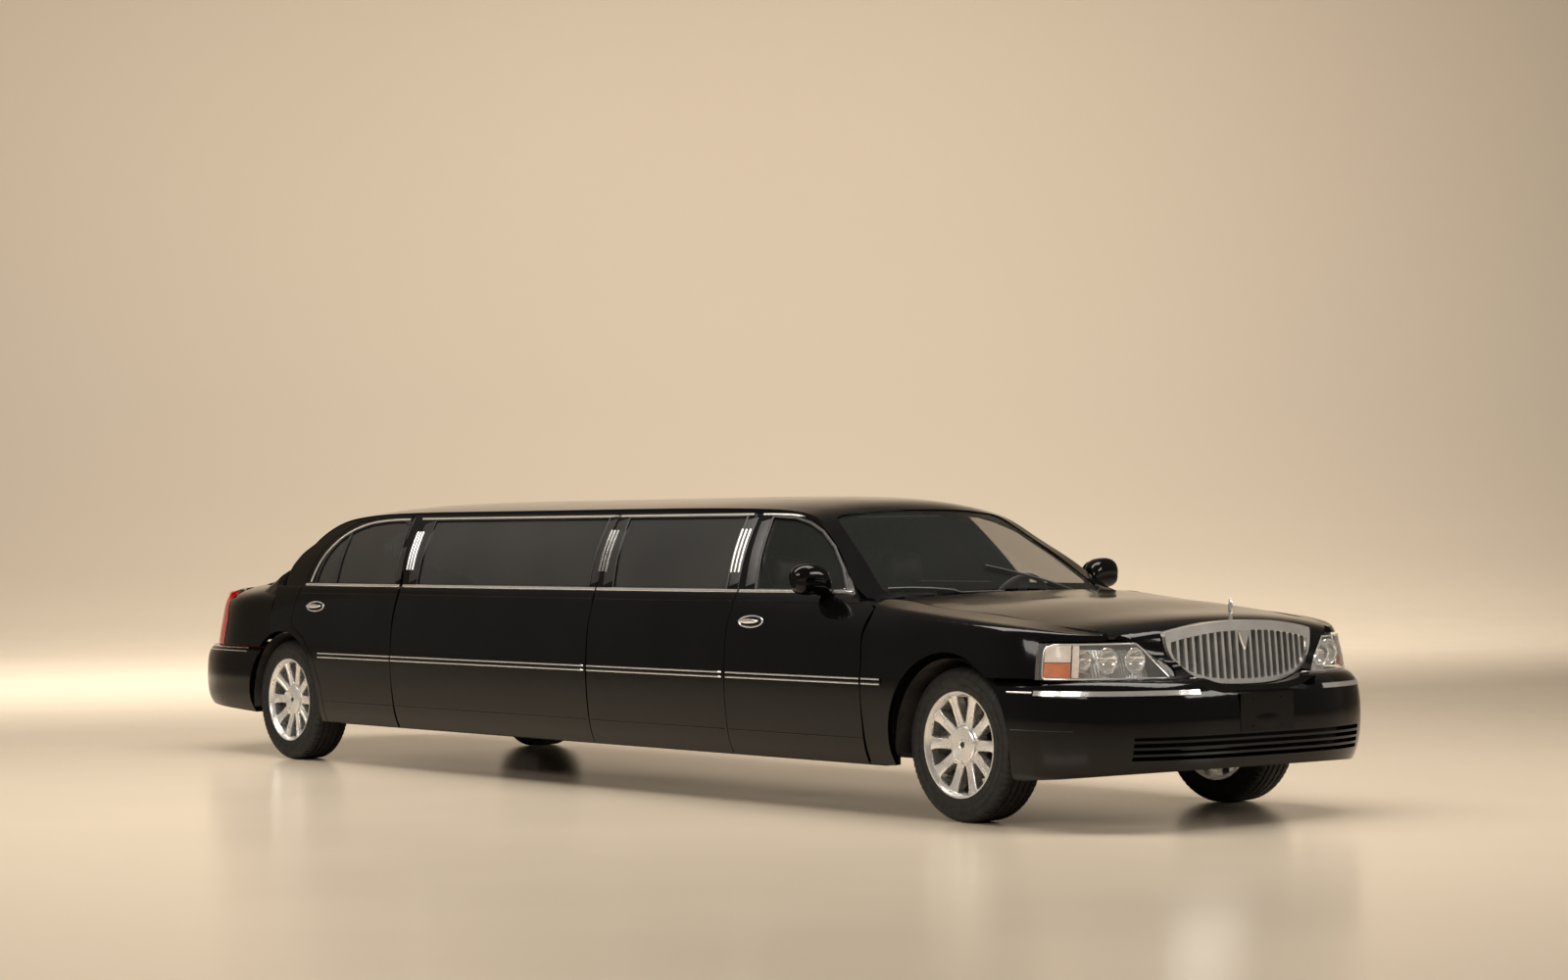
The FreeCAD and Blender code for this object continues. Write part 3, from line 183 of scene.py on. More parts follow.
def make_materials():
    kit = {}
    kit["paint"] = (
        Finish("body_paint", Coat_Weight=0.2, Coat_Roughness=0.015, Specular_IOR_Level=0.17)
        .tint(2.2, 4, (0.0012, 0.0012, 0.0013), (0.0028, 0.0028, 0.0029))
        .rough(5, 5, 0.07, 0.13)
        .grain(420, 1, 0.03, 0.0004)
    )
    kit["satin"] = (
        Finish("satin_black", Coat_Weight=0.2, Coat_Roughness=0.2)
        .tint(30, 4, (0.012, 0.012, 0.012), (0.022, 0.021, 0.02))
        .rough(60, 3, 0.28, 0.42)
        .grain(900, 2, 0.12, 0.0004)
    )
    kit["chrome"] = (
        Finish("chrome", Metallic=0.82)
        .tint(6, 3, (0.84, 0.84, 0.84), (0.95, 0.95, 0.94))
        .rough(14, 4, 0.10, 0.17)
    )
    kit["bar_chrome"] = (
        Finish("bar_chrome", Metallic=0.8)
        .tint(6, 3, (0.40, 0.40, 0.395), (0.48, 0.48, 0.47))
        .rough(14, 3, 0.20, 0.27)
        .grain(900, 1, 0.03, 0.0002)
    )
    kit["satin_chrome"] = (
        Finish("satin_chrome", Metallic=0.82)
        .tint(9, 3, (0.86, 0.855, 0.845), (0.95, 0.945, 0.935))
        .rough(12, 2, 0.15, 0.21)
        .grain(900, 1, 0.03, 0.0002)
    )
    kit["alloy"] = (
        Finish("wheel_alloy", Metallic=0.8, Coat_Weight=0.4, Coat_Roughness=0.08)
        .tint(18, 4, (0.60, 0.59, 0.57), (0.74, 0.73, 0.70))
        .rough(20, 2, 0.24, 0.32)
        .grain(600, 1, 0.03, 0.0003)
    )
    kit["machined"] = (
        Finish("machined_alloy", Metallic=0.7, Coat_Weight=0.5, Coat_Roughness=0.06)
        .tint(8, 2, (0.80, 0.79, 0.77), (0.92, 0.91, 0.89))
        .rough(20, 2, 0.25, 0.32)
        .grain(900, 1, 0.03, 0.0002)
    )
    kit["dark_glass"] = (
        Finish("privacy_glass", Roughness=0.02, IOR=1.5, Transmission_Weight=0.3)
        .tint(1.2, 2, (0.034, 0.0345, 0.034), (0.050, 0.050, 0.048))
        .grain(2.5, 1, 0.02, 0.002)
    )
    kit["clear_glass"] = (
        Finish("clear_glass", Roughness=0.0, IOR=1.9, Alpha=0.24)
        .tint(1.5, 2, (0.020, 0.024, 0.022), (0.030, 0.034, 0.031))
        .grain(3, 1, 0.015, 0.002)
    )
    kit["rubber"] = (
        Finish("tyre_rubber", Specular_IOR_Level=0.35)
        .tint(35, 5, (0.008, 0.008, 0.008), (0.019, 0.0185, 0.0175))
        .rough(25, 4, 0.5, 0.72)
        .grain(600, 3, 0.25, 0.0006)
    )
    kit["seal"] = (
        Finish("seal_rubber")
        .tint(80, 3, (0.006, 0.006, 0.006), (0.014, 0.014, 0.013))
        .rough(60, 3, 0.45, 0.6)
        .grain(900, 2, 0.15, 0.0004)
    )
    kit["chassis"] = (
        Finish("underbody_black")
        .tint(9, 6, (0.013, 0.012, 0.011), (0.04, 0.036, 0.031), 0.35, 0.75)
        .rough(30, 4, 0.55, 0.85)
        .grain(220, 4, 0.3, 0.001)
    )
    kit["cast"] = (
        Finish("cast_block", Metallic=0.7)
        .tint(25, 6, (0.09, 0.088, 0.085), (0.2, 0.195, 0.185))
        .rough(50, 4, 0.45, 0.7)
        .grain(350, 4, 0.4, 0.001)
    )
    kit["steel"] = (
        Finish("pipe_steel", Metallic=1.0)
        .tint(7, 6, (0.2, 0.18, 0.155), (0.42, 0.4, 0.37))
        .rough(18, 4, 0.35, 0.6)
        .grain(300, 3, 0.15, 0.0006)
    )
    kit["leather"] = (
        Finish("cabin_leather", Sheen_Weight=0.15)
        .tint(8, 5, (0.020, 0.018, 0.016), (0.043, 0.039, 0.035))
        .rough(90, 3, 0.38, 0.55)
        .pebbles(380, 0.35, 0.0008)
        .grain(35, 4, 0.2, 0.002)
    )
    kit["trim"] = (
        Finish("cabin_trim")
        .tint(12, 4, (0.020, 0.019, 0.018), (0.035, 0.033, 0.031))
        .rough(50, 3, 0.5, 0.7)
        .pebbles(700, 0.3, 0.0005)
    )
    kit["carpet"] = (
        Finish("carpet", Sheen_Weight=0.5)
        .tint(300, 4, (0.012, 0.011, 0.010), (0.04, 0.037, 0.034))
        .rough(90, 2, 0.9, 1.0)
        .grain(700, 3, 0.9, 0.003)
    )
    kit["lens"] = (
        Finish("lamp_lens", Roughness=0.02, IOR=1.9, Alpha=0.10, Coat_Weight=1.0)
        .tint(8, 2, (0.9, 0.9, 0.88), (0.97, 0.97, 0.95))
    )
    kit["amber"] = (
        Finish("amber_lens", IOR=1.45, Transmission_Weight=0.55, Emission_Strength=0.05)
        .glow((1.0, 0.25, 0.02))
        .tint(20, 3, (0.75, 0.17, 0.015), (0.95, 0.30, 0.04))
        .rough(30, 3, 0.12, 0.22)
        .ribs(55, "Z", 0.5, 0.002)
    )
    kit["reflector"] = (
        Finish("lamp_reflector", Metallic=0.72)
        .tint(25, 2, (0.90, 0.90, 0.89), (0.98, 0.98, 0.97))
        .rough(30, 4, 0.06, 0.16)
        .grain(60, 1, 0.10, 0.001)
    )
    kit["red"] = (
        Finish("tail_lens", IOR=1.4, Transmission_Weight=0.15, Coat_Weight=0.3, Coat_Roughness=0.03,
               Emission_Strength=0.10)
        .glow((0.9, 0.01, 0.01))
        .tint(18, 3, (0.26, 0.003, 0.004), (0.42, 0.008, 0.008))
        .rough(30, 3, 0.06, 0.14)
        .ribs(30, "Z", 0.35, 0.002)
    )
    kit["pale_ribs"] = (
        Finish("lamp_ribs", Coat_Weight=0.8, Coat_Roughness=0.03)
        .tint(14, 3, (0.72, 0.60, 0.50), (0.86, 0.80, 0.74))
        .rough(30, 3, 0.12, 0.22)
        .ribs(62, "Z", 0.7, 0.003)
    )
    kit["red_bed"] = (
        Finish("tail_reflector", Metallic=0.5, Emission_Strength=0.12)
        .glow((0.9, 0.02, 0.02))
        .tint(30, 3, (0.62, 0.03, 0.03), (0.85, 0.08, 0.06))
        .rough(40, 3, 0.15, 0.3)
        .pebbles(220, 0.6, 0.003)
    )
    kit["lamp_bed"] = (
        Finish("lamp_bed", Metallic=0.55)
        .tint(10, 2, (0.80, 0.80, 0.79), (0.92, 0.92, 0.90))
        .rough(20, 2, 0.18, 0.28)
        .ribs(26, "Y", 0.5, 0.004)
    )
    kit["mirror"] = (
        Finish("mirror_glass", Metallic=1.0, Coat_Weight=0.5)
        .tint(5, 2, (0.70, 0.72, 0.73), (0.78, 0.79, 0.80))
        .rough(20, 2, 0.01, 0.03)
    )
    return {name: finish.material for name, finish in kit.items()}


MATERIALS = make_materials()

NODE_FINISH = {
    "roof": "paint", "hood": "paint", "trunk_lid": "paint", "front_bumper": "paint", "rear_bumper": "paint",
    "fender_": "paint", "side_panel_": "paint", "quarter_": "paint", "door_": "paint", "mirror_": "paint",
    "side_glass": "dark_glass", "rear_window": "dark_glass", "door_rear_glass_": "dark_glass",
    "windshield": "clear_glass", "door_front_glass_": "clear_glass",
    "grille": "satin_chrome", "hood_ornament": "chrome", "pillar_bars": "bar_chrome", "handle_": "chrome",
    "headlamps": "lens", "taillamps": "red",
    "floor_frame": "chassis", "front_suspension": "chassis", "rear_axle": "chassis", "knuckle_": "cast",
    "engine": "cast", "exhaust": "steel", "fuel_tank": "steel",
    "front_seats": "leather", "rear_seat": "leather", "cowl": "satin", "dashboard": "trim",
    "steering_wheel": "leather", "partition": "trim", "rim_": "alloy", "tyre_": "rubber",
}


def paint_nodes():
    """Every CAD node gets the finish of the longest matching name."""
    for name, node in NODES.items():
        keys = [key for key in NODE_FINISH if name == key or (key.endswith("_") and name.startswith(key))]
        key = max(keys, key=len)
        node.data.materials.clear()
        node.data.materials.append(MATERIALS[NODE_FINISH[key]])


# Mesh helpers


def body_name(node):
    """The body that a CAD node rides on."""
    return next(name for name, empty in frame["bodies"].items() if NODES[node].parent == empty)


def add_mesh(name, vertices, faces, finish, body, smooth=True):
    mesh = bpy.data.meshes.new(name)
    mesh.from_pydata([tuple(vertex) for vertex in vertices], [], faces)
    mesh.validate()
    mesh.materials.append(MATERIALS[finish])
    for polygon in mesh.polygons:
        polygon.use_smooth = smooth
    if smooth:
        mesh.set_sharp_from_angle(angle=math.radians(38))
    piece = place_object(name, mesh)
    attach(piece, body)
    return piece


def grid_faces(columns, rows, flip=False, start=0):
    """Quads over a grid of points that are listed column after column, from this start on."""
    faces = []
    for i in range(columns):
        for j in range(rows):
            here = start + i * (rows + 1) + j
            face = (here, here + 1, here + rows + 2, here + rows + 1)
            faces.append(face[::-1] if flip else face)
    return faces


def ring_faces(steps, width, flip=False, closed=False, start=0):
    """Quads of a surface that closes on itself, whose section of so many points is repeated at each step."""
    faces = []
    for step in range(steps):
        here = start + step * width
        there = start + (step + 1) % steps * width
        for i in range(width if closed else width - 1):
            after = (i + 1) % width
            face = (here + i, here + after, there + after, there + i)
            faces.append(face[::-1] if flip else face)
    return faces


def mend_normals(piece):
    shell = bmesh.new()
    shell.from_mesh(piece.data)
    bmesh.ops.recalc_face_normals(shell, faces=shell.faces)
    shell.to_mesh(piece.data)
    shell.free()


def patch(name, columns, finish, body):
    """An open sheet through columns of points."""
    vertices = [place for column in columns for place in column]
    faces = grid_faces(len(columns) - 1, len(columns[0]) - 1)
    mend_normals(add_mesh(name, vertices, faces, finish, body))


def surface_of(names):
    """A search tree over the rest shape of some CAD nodes."""
    vertices = []
    faces = []
    for name in names:
        mesh = NODES[name].data
        start = len(vertices)
        vertices.extend(vertex.co.copy() for vertex in mesh.vertices)
        faces.extend(tuple(start + i for i in polygon.vertices) for polygon in mesh.polygons)
    return BVHTree.FromPolygons(vertices, faces)


def smooth_path(points, spacing):
    """A Catmull-Rom line through the points, sampled about every spacing."""
    padded = [points[0]] + list(points) + [points[-1]]
    line = []
    for before, start, end, after in zip(padded, padded[1:], padded[2:], padded[3:]):
        before, start, end, after = (Vector(point) for point in (before, start, end, after))
        steps = max(1, round((end - start).length / spacing))
        for i in range(steps):
            t = i / steps
            line.append(0.5 * ((2 * start) + (end - before) * t
                               + (2 * before - 5 * start + 4 * end - after) * t ** 2
                               + (3 * start - before - 3 * end + after) * t ** 3))
    line.append(Vector(points[-1]))
    return line


BEAD = ((-1, -0.3), (-1, 0.45), (-0.62, 0.9), (0, 1), (0.62, 0.9), (1, 0.45), (1, -0.3))


def sweep(name, places, normals, half_width, proud, finish, body, section=BEAD, closed=False):
    """A moulding of one section along a line of surface points with their normals."""
    vertices = []
    count = len(places)
    for i, (place, normal) in enumerate(zip(places, normals)):
        before = places[(i - 1) % count] if closed else places[max(i - 1, 0)]
        after = places[(i + 1) % count] if closed else places[min(i + 1, count - 1)]
        across = normal.cross((after - before).normalized()).normalized()
        vertices.extend(place + across * (half_width * a) + normal * (proud * b) for a, b in section)
    width = len(section)
    if closed:
        faces = ring_faces(count, width, flip=True)
    else:
        faces = grid_faces(count - 1, width - 1, flip=True)
        faces.append(tuple(range(width)))
        faces.append(tuple(reversed(range((count - 1) * width, count * width))))
    return add_mesh(name, vertices, faces, finish, body)


def hits(tree, starts, direction, reach):
    """Where rays meet a surface, with its normals turned towards their starts. Misses are left out."""
    places = []
    normals = []
    for start in starts:
        hit, normal, _, _ = tree.ray_cast(start, direction, reach)
        if hit is None:
            continue
        if normal.dot(direction) > 0:
            normal = -normal
        places.append(hit)
        normals.append(normal)
    return places, normals


def side_strip(name, body, node, side, path, half_width, proud, finish, closed=False):
    """A moulding on the body side, along (x, z) points. A closed one keeps its corners."""
    line = [Vector((x, z, 0)) for x, z in path]
    if not closed:
        line = smooth_path(line, 0.05)
    starts = [Vector((point.x, side * 1.3, point.y)) for point in line]
    places, normals = hits(surface_of([node]), starts, Vector((0, -side, 0)), 0.9)
    sweep(name, places, normals, half_width, proud, finish, body, closed=closed)


def behind(distance):
    return FRONT_AXLE - distance


# Stage and light

# Section of floor and backdrop: (distance behind the point where the floor begins to rise, height).
BACKDROP_LINE = ((-60, 0), (0, 0), (4, 0.05), (8, 0.35), (12, 1.2), (15, 2.8), (17, 5.4), (18, 9), (18.4, 14),
                 (18.5, 30))
BACKDROP_START = 16
BACKDROP_REACH = 70


def make_stage():
    """A pale floor that turns up into the backdrop behind the car, as in a photo studio."""
    floor = Finish("floor", Specular_IOR_Level=0.5)
    floor.tint(0.12, 1, (0.665, 0.57, 0.455), (0.68, 0.585, 0.465))
    floor.rough(0.5, 2, 0.20, 0.23)
    away = Vector((math.cos(CAMERA_YAW), math.sin(CAMERA_YAW), 0))
    across = Vector((away.y, -away.x, 0))
    start = away * BACKDROP_START
    line = smooth_path([Vector((run, 0, rise)) for run, rise in BACKDROP_LINE[1:]], 0.4)
    line = [Vector((BACKDROP_LINE[0][0], 0, 0))] + line
    vertices = []
    for point in line:
        for reach in (-BACKDROP_REACH, BACKDROP_REACH):
            vertices.append(start + away * point.x + across * reach + Vector((0, 0, point.z)))
    mesh = bpy.data.meshes.new("floor")
    mesh.from_pydata([tuple(vertex) for vertex in vertices], [], grid_faces(len(line) - 1, 1))
    mesh.materials.append(floor.material)
    for polygon in mesh.polygons:
        polygon.use_smooth = True
    plane = place_object("floor", mesh)

    world = bpy.data.worlds.new("studio")
    world.use_nodes = True
    backdrop = world.node_tree.nodes["Background"]
    backdrop.inputs["Color"].default_value = (0.80, 0.72, 0.62, 1)
    backdrop.inputs["Strength"].default_value = 0.22
    bpy.context.scene.world = world


SOFTBOX_COLOUR = (1.0, 0.94, 0.86)


def softbox(name, place, target, size, power):
    data = bpy.data.lights.new(name, "AREA")
    data.shape = "RECTANGLE"
    data.size, data.size_y = size
    data.energy = power
    data.color = SOFTBOX_COLOUR
    lamp = place_object(name, data)
    lamp.location = place
    lamp.rotation_euler = (Vector(target) - Vector(place)).to_track_quat("-Z", "Y").to_euler()


def light_stage():
    softbox("ceiling_box", (1.0, -1.2, 8.5), (0.5, -0.6, 0), (15.0, 3.4), 1350)
    softbox("front_box", (14.5, 6.5, 6.0), (3.5, 0, 0.8), (5.0, 3.0), 480)
    softbox("side_box", (5.0, -15.0, 7.5), (0, 0, 0.6), (12.0, 3.0), 900)
    softbox("backdrop_box", (-9.0, 12.0, 9.0), (-20, 12, 2.5), (16.0, 5.0), 2600)
    softbox("glow_box", (-10.5, 1.0, 8.5), (-20.5, 3.0, 2.5), (6.0, 4.0), 2000)
    bpy.context.scene.view_settings.view_transform = "Standard"


# Side mouldings. Distances are metres behind the front axle, heights are metres above the ground.

FRONT_DOOR = (0.605, 1.650)
FRONT_PANEL = (1.655, 2.848)
REAR_PANEL = (2.852, 4.795)
REAR_DOOR = (4.800, 5.914)
ARCH_EDGE = FRONT_AXLE - REAR_AXLE - 0.43
BELT_SPANS = {
    "door_front": (0.80, 1.665), "panel_front": (1.672, 2.862), "panel_rear": (2.868, 4.812),
    "door_rear": (4.818, 5.878),
}
LINE_HEIGHTS = (0.614, 0.636)
MOULDING_HEIGHT = 0.625
SILL_HEIGHT = 0.358
BELT_HEIGHT = 1.031
SHOULDER_HEIGHT = 0.982
GAP = 0.004


def side_bodies(side_name):
    """(piece name, body, node, span behind the front axle) of each stretch of the body side."""
    return (
        ("door_front", "front_door_" + side_name, "door_front_" + side_name, FRONT_DOOR),
        ("panel_front", "root", "side_panel_" + side_name, FRONT_PANEL),
        ("panel_rear", "root", "side_panel_" + side_name, REAR_PANEL),
        ("door_rear", "rear_door_" + side_name, "door_rear_" + side_name, REAR_DOOR),
    )


def level_strip(name, body, node, side, span, height, half_width, proud, finish):
    start, end = span
    path = [(behind(start + GAP), height), (behind((start + end) / 2), height), (behind(end - GAP), height)]
    side_strip(name, body, node, side, path, half_width, proud, finish)


def double_line(piece, side_name, body, node, side, span):
    for height in LINE_HEIGHTS:
        name = f"side_line_{piece}_{side_name}_{round(height * 1000)}"
        level_strip(name, body, node, side, span, height, 0.0042, 0.0045, "chrome")


def make_side_mouldings():
    for side_name, side in SIDES:
        for piece, body, node, span in side_bodies(side_name):
            lower = (span[0], min(span[1], ARCH_EDGE)) if piece == "door_rear" else span
            double_line(piece, side_name, body, node, side, lower)
            for name, reach, height, half_width, proud, finish in (
                    ("side_moulding", lower, MOULDING_HEIGHT, 0.017, 0.0035, "paint"),
                    ("sill_line", lower, SILL_HEIGHT, 0.003, 0.0022, "paint"),
                    ("belt_chrome", BELT_SPANS[piece], BELT_HEIGHT, 0.0075, 0.006, "chrome"),
                    ("shoulder_line", span, SHOULDER_HEIGHT, 0.0022, 0.0016, "paint")):
                level_strip(f"{name}_{piece}_{side_name}", body, node, side, reach, height, half_width, proud,
                            finish)
        fender = "fender_" + side_name
        double_line("fender", side_name, "root", fender, side, (0.455, 0.598))
        level_strip("side_moulding_" + fender, "root", fender, side, (0.445, 0.598), MOULDING_HEIGHT, 0.017,
                    0.0035, "paint")


# The chrome over the windows and the outlines of the panes, in the same terms as the mouldings.
DRIP_RAIL = {
    "door_front": [(0.840, 1.036), (0.905, 1.086), (1.020, 1.172), (1.160, 1.252), (1.320, 1.332),
                   (1.440, 1.374), (1.560, 1.397), (1.700, 1.404), (1.800, 1.405)],
    "panel_front": [(1.865, 1.406), (2.30, 1.406), (2.930, 1.406)],
    "panel_rear": [(2.945, 1.406), (3.9, 1.406), (4.900, 1.406)],
    "door_rear": [(5.03, 1.404), (5.20, 1.402), (5.42, 1.388), (5.58, 1.352), (5.700, 1.292), (5.775, 1.210),
                  (5.812, 1.120), (5.824, 1.046)],
}

WINDOWS = {
    "door_front": [[(0.930, 1.044), (1.030, 1.136), (1.172, 1.235), (1.320, 1.310), (1.440, 1.352),
                    (1.560, 1.378), (1.712, 1.386), (1.545, 1.044)]],
    "panel_front": [[(1.779, 1.044), (1.912, 1.392), (2.840, 1.392), (2.712, 1.044)]],
    "panel_rear": [[(2.951, 1.044), (3.034, 1.392), (4.740, 1.392), (4.632, 1.044)]],
    "door_rear": [[(4.885, 1.044), (4.964, 1.250), (5.022, 1.376), (5.085, 1.390), (5.270, 1.387),
                   (5.440, 1.370), (5.545, 1.345), (5.588, 1.330), (5.522, 1.044)],
                  [(5.553, 1.044), (5.614, 1.318), (5.663, 1.289), (5.700, 1.255), (5.730, 1.212),
                   (5.750, 1.160), (5.759, 1.105), (5.760, 1.044)]],
}


def along_edges(corners, spacing):
    """Points along a closed outline, corners kept."""
    points = []
    for start, end in zip(corners, corners[1:] + corners[:1]):
        start, end = Vector(start), Vector(end)
        steps = max(1, round((end - start).length / spacing))
        points.extend(start + (end - start) * (i / steps) for i in range(steps))
    return points


def grown(corners, gap):
    """A closed outline with every edge moved outwards."""
    count = len(corners)
    area = sum(corners[i][0] * corners[(i + 1) % count][1] - corners[(i + 1) % count][0] * corners[i][1]
               for i in range(count))
    turn = 1 if area > 0 else -1
    result = []
    for i in range(count):
        before, here, after = (Vector(corners[(i + k) % count]) for k in (-1, 0, 1))
        first = Vector((here.y - before.y, before.x - here.x)).normalized() * turn
        second = Vector((after.y - here.y, here.x - after.x)).normalized() * turn
        result.append(tuple(here + (first + second) * (gap / (1 + first.dot(second)))))
    return result


def make_window_trim():
    for side_name, side in SIDES:
        for piece, body, node, _ in side_bodies(side_name):
            rail = [(behind(distance), height) for distance, height in DRIP_RAIL[piece]]
            side_strip(f"drip_rail_{piece}_{side_name}", body, node, side, rail, 0.0065, 0.007, "chrome")
            for number, corners in enumerate(WINDOWS[piece], start=1):
                outline = [(behind(point.x), point.y) for point in along_edges(grown(corners, 0.008), 0.04)]
                side_strip(f"window_seal_{piece}_{number}_{side_name}", body, node, side, outline, 0.0075,
                           0.003, "seal", closed=True)


# Lower end, upper end and half width of each pillar's cover.
PILLAR_COVERS = {
    "door_front": ((1.600, 1.062), (1.752, 1.376), 0.034),
    "panel_front": ((1.725, 1.062), (1.858, 1.385), 0.036),
    "panel_middle_front": ((2.775, 1.062), (2.892, 1.385), 0.040),
    "panel_middle_rear": ((2.900, 1.062), (2.985, 1.385), 0.032),
    "panel_rear": ((4.690, 1.062), (4.800, 1.385), 0.042),
    "door_rear": ((4.850, 1.062), (4.975, 1.372), 0.024),
}
SLAB = ((-1, -0.3), (-1, 0.8), (-0.97, 1), (0.97, 1), (1, 0.8), (1, -0.3))


def make_pillar_covers():
    """Satin black covers on the pillars, under the bright bars."""
    for side_name, side in SIDES:
        for piece, (low, high, half_width) in PILLAR_COVERS.items():
            if piece.startswith("panel"):
                node = "side_panel_" + side_name
            else:
                node = f"{piece}_{side_name}"
            path = [(behind(low[0]), low[1]), (behind(high[0]), high[1])]
            side_strip(f"pillar_cover_{piece}_{side_name}", body_name(node), node, side, path, half_width,
                       0.0012, "satin")


# Wheels and tyres. Offsets are metres from the middle of the wheel, outwards along the axle.

WHEELS = (("front_left", 1), ("front_right", -1), ("rear_left", 1), ("rear_right", -1))
TYRE_LINE = ((-0.1045, 0.2435), (-0.1085, 0.262), (-0.1115, 0.283), (-0.1122, 0.300), (-0.110, 0.316),
             (-0.1065, 0.328), (-0.1045, 0.334), (-0.094, 0.344), (-0.082, 0.3495))
TYRE_RIBS = ((0.1105, 0.274, 0.0022), (0.1112, 0.306, 0.0016))
TREAD_GROOVES = (-0.052, -0.018, 0.018, 0.052)
TREAD_RADIUS = 0.3514
TREAD_CROWN = 0.35
GROOVE_HALF = 0.0042
GROOVE_DEPTH = 0.0075
BLOCK_DEPTH = 0.0045


def tread_line():
    """The tyre's section from its inner bead over the tread to its outer bead."""
    line = list(TYRE_LINE)
    for middle in TREAD_GROOVES:
        crown = TREAD_RADIUS - TREAD_CROWN * middle ** 2
        line.append((middle - GROOVE_HALF - 0.0005, crown))
        line.append((middle - GROOVE_HALF, crown - GROOVE_DEPTH))
        line.append((middle + GROOVE_HALF, crown - GROOVE_DEPTH))
        line.append((middle + GROOVE_HALF + 0.0005, crown))
    line.extend((-offset, radius) for offset, radius in reversed(TYRE_LINE))
    return line


def on_wheel(hub, side, angle, offset, radius):
    return hub.x + radius * math.sin(angle), hub.y + side * offset, hub.z + radius * math.cos(angle)


def make_tyre(wheel, side):
    """A tyre with grooves round its tread, notches in its shoulders and two ribs on its side."""
    hub = centre("tyre_" + wheel)
    line = tread_line()
    steps = 288
    vertices = []
    for step in range(steps):
        for offset, radius in line:
            shoulder = 0.055 < abs(offset) < 0.108 and radius > 0.325
            depth = BLOCK_DEPTH if shoulder and step % 4 == 3 else 0
            vertices.append(on_wheel(hub, side, 2 * math.pi * step / steps, offset, radius - depth))
    faces = ring_faces(steps, len(line), flip=side < 0, closed=True)
    tyre = add_mesh("tyre_tread_" + wheel, vertices, faces, "rubber", body_name("tyre_" + wheel))
    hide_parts("tyre_" + wheel)
    for number, (offset, radius, half) in enumerate(TYRE_RIBS, start=1):
        section = [(offset - 0.002, radius - half), (offset + 0.0012, radius - half * 0.5),
                   (offset + 0.0012, radius + half * 0.5), (offset - 0.002, radius + half)]
        turned(f"tyre_rib_{wheel}_{number}", wheel, side, section, "rubber", 160)


def turned(name, wheel, side, line, finish, steps=96):
    """A piece turned about the wheel's axle from (offset, radius) points."""
    hub = centre("tyre_" + wheel)
    vertices = [on_wheel(hub, side, 2 * math.pi * step / steps, offset, radius)
                for step in range(steps) for offset, radius in line]
    add_mesh(name, vertices, ring_faces(steps, len(line), flip=side < 0), finish, body_name("rim_" + wheel))


SPOKES = 10
SPOKE_START = 0.086
SPOKE_END = 0.222


def spoke_offset(radius):
    """How far the spoke's face stands out from the middle of the wheel."""
    return 0.0700 + 0.0115 * max(0.0, (radius - 0.11) / 0.115) ** 1.4


def make_spoke_faces(wheel, side):
    """The flat machined face of each spoke, with its shallow groove."""
    hub = centre("tyre_" + wheel)
    vertices = []
    faces = []
    rows = 9
    section = ((-1, -0.006), (-0.97, 0.0015), (-0.9, 0.0028), (-0.2, 0.0028), (-0.14, 0.0008), (0.14, 0.0008),
               (0.2, 0.0028), (0.9, 0.0028), (0.97, 0.0015), (1, -0.006))
    for spoke in range(SPOKES):
        turn = 2 * math.pi * (spoke + 0.5) / SPOKES
        start = len(vertices)
        for row in range(rows):
            share = row / (rows - 1)
            radius = SPOKE_START + (SPOKE_END - SPOKE_START) * share
            half = 0.0215 + 0.0035 * share + 0.009 * max(0.0, share - 0.8) / 0.2
            for across, rise in section:
                x = across * half
                offset = spoke_offset(radius) + rise
                vertices.append((hub.x + radius * math.sin(turn) + x * math.cos(turn), hub.y + side * offset,
                                 hub.z + radius * math.cos(turn) - x * math.sin(turn)))
        width = len(section)
        faces += grid_faces(rows - 1, width - 1, flip=side > 0, start=start)
        faces.append(tuple(start + i for i in range(width))[::side])
        faces.append(tuple(start + (rows - 1) * width + i for i in range(width))[::-side])
    add_mesh("spoke_faces_" + wheel, vertices, faces, "machined", body_name("rim_" + wheel))


HUB_CAP = ((0.0885, 0.0001), (0.0885, 0.009), (0.0865, 0.0125), (0.082, 0.0128))
RIM_LIP = ((0.0835, 0.2215), (0.0925, 0.2245), (0.1035, 0.2325), (0.1062, 0.2345), (0.1068, 0.2385),
           (0.1062, 0.2412))
LUG_LINE = ((0.0095, 0.066), (0.0088, 0.0775), (0.006, 0.0805), (0.0, 0.0812))
LUG_CIRCLE = 0.098
LUGS = 5
LUG_SIDES = 10
HOUSE_RADIUS = 0.392
HOUSE_WIDTHS = (0.50, 0.62, 0.74, 0.86, 0.955)
HOUSE_STEPS = 40


def make_hub(wheel, side):
    rings = [(0.0835, 0.012)]
    for ring in range(6):
        radius = 0.018 + 0.0105 * ring
        face = 0.0870 - 0.00035 * ring
        rings.extend([(face, radius), (face + 0.0015, radius + 0.003), (face, radius + 0.0075)])
    rings.extend([(0.0830, 0.0815), (0.0740, 0.0840)])
    turned("hub_rings_" + wheel, wheel, side, rings, "machined")
    turned("hub_cap_" + wheel, wheel, side, HUB_CAP, "satin", 48)
    turned("rim_lip_" + wheel, wheel, side, RIM_LIP, "machined", 144)


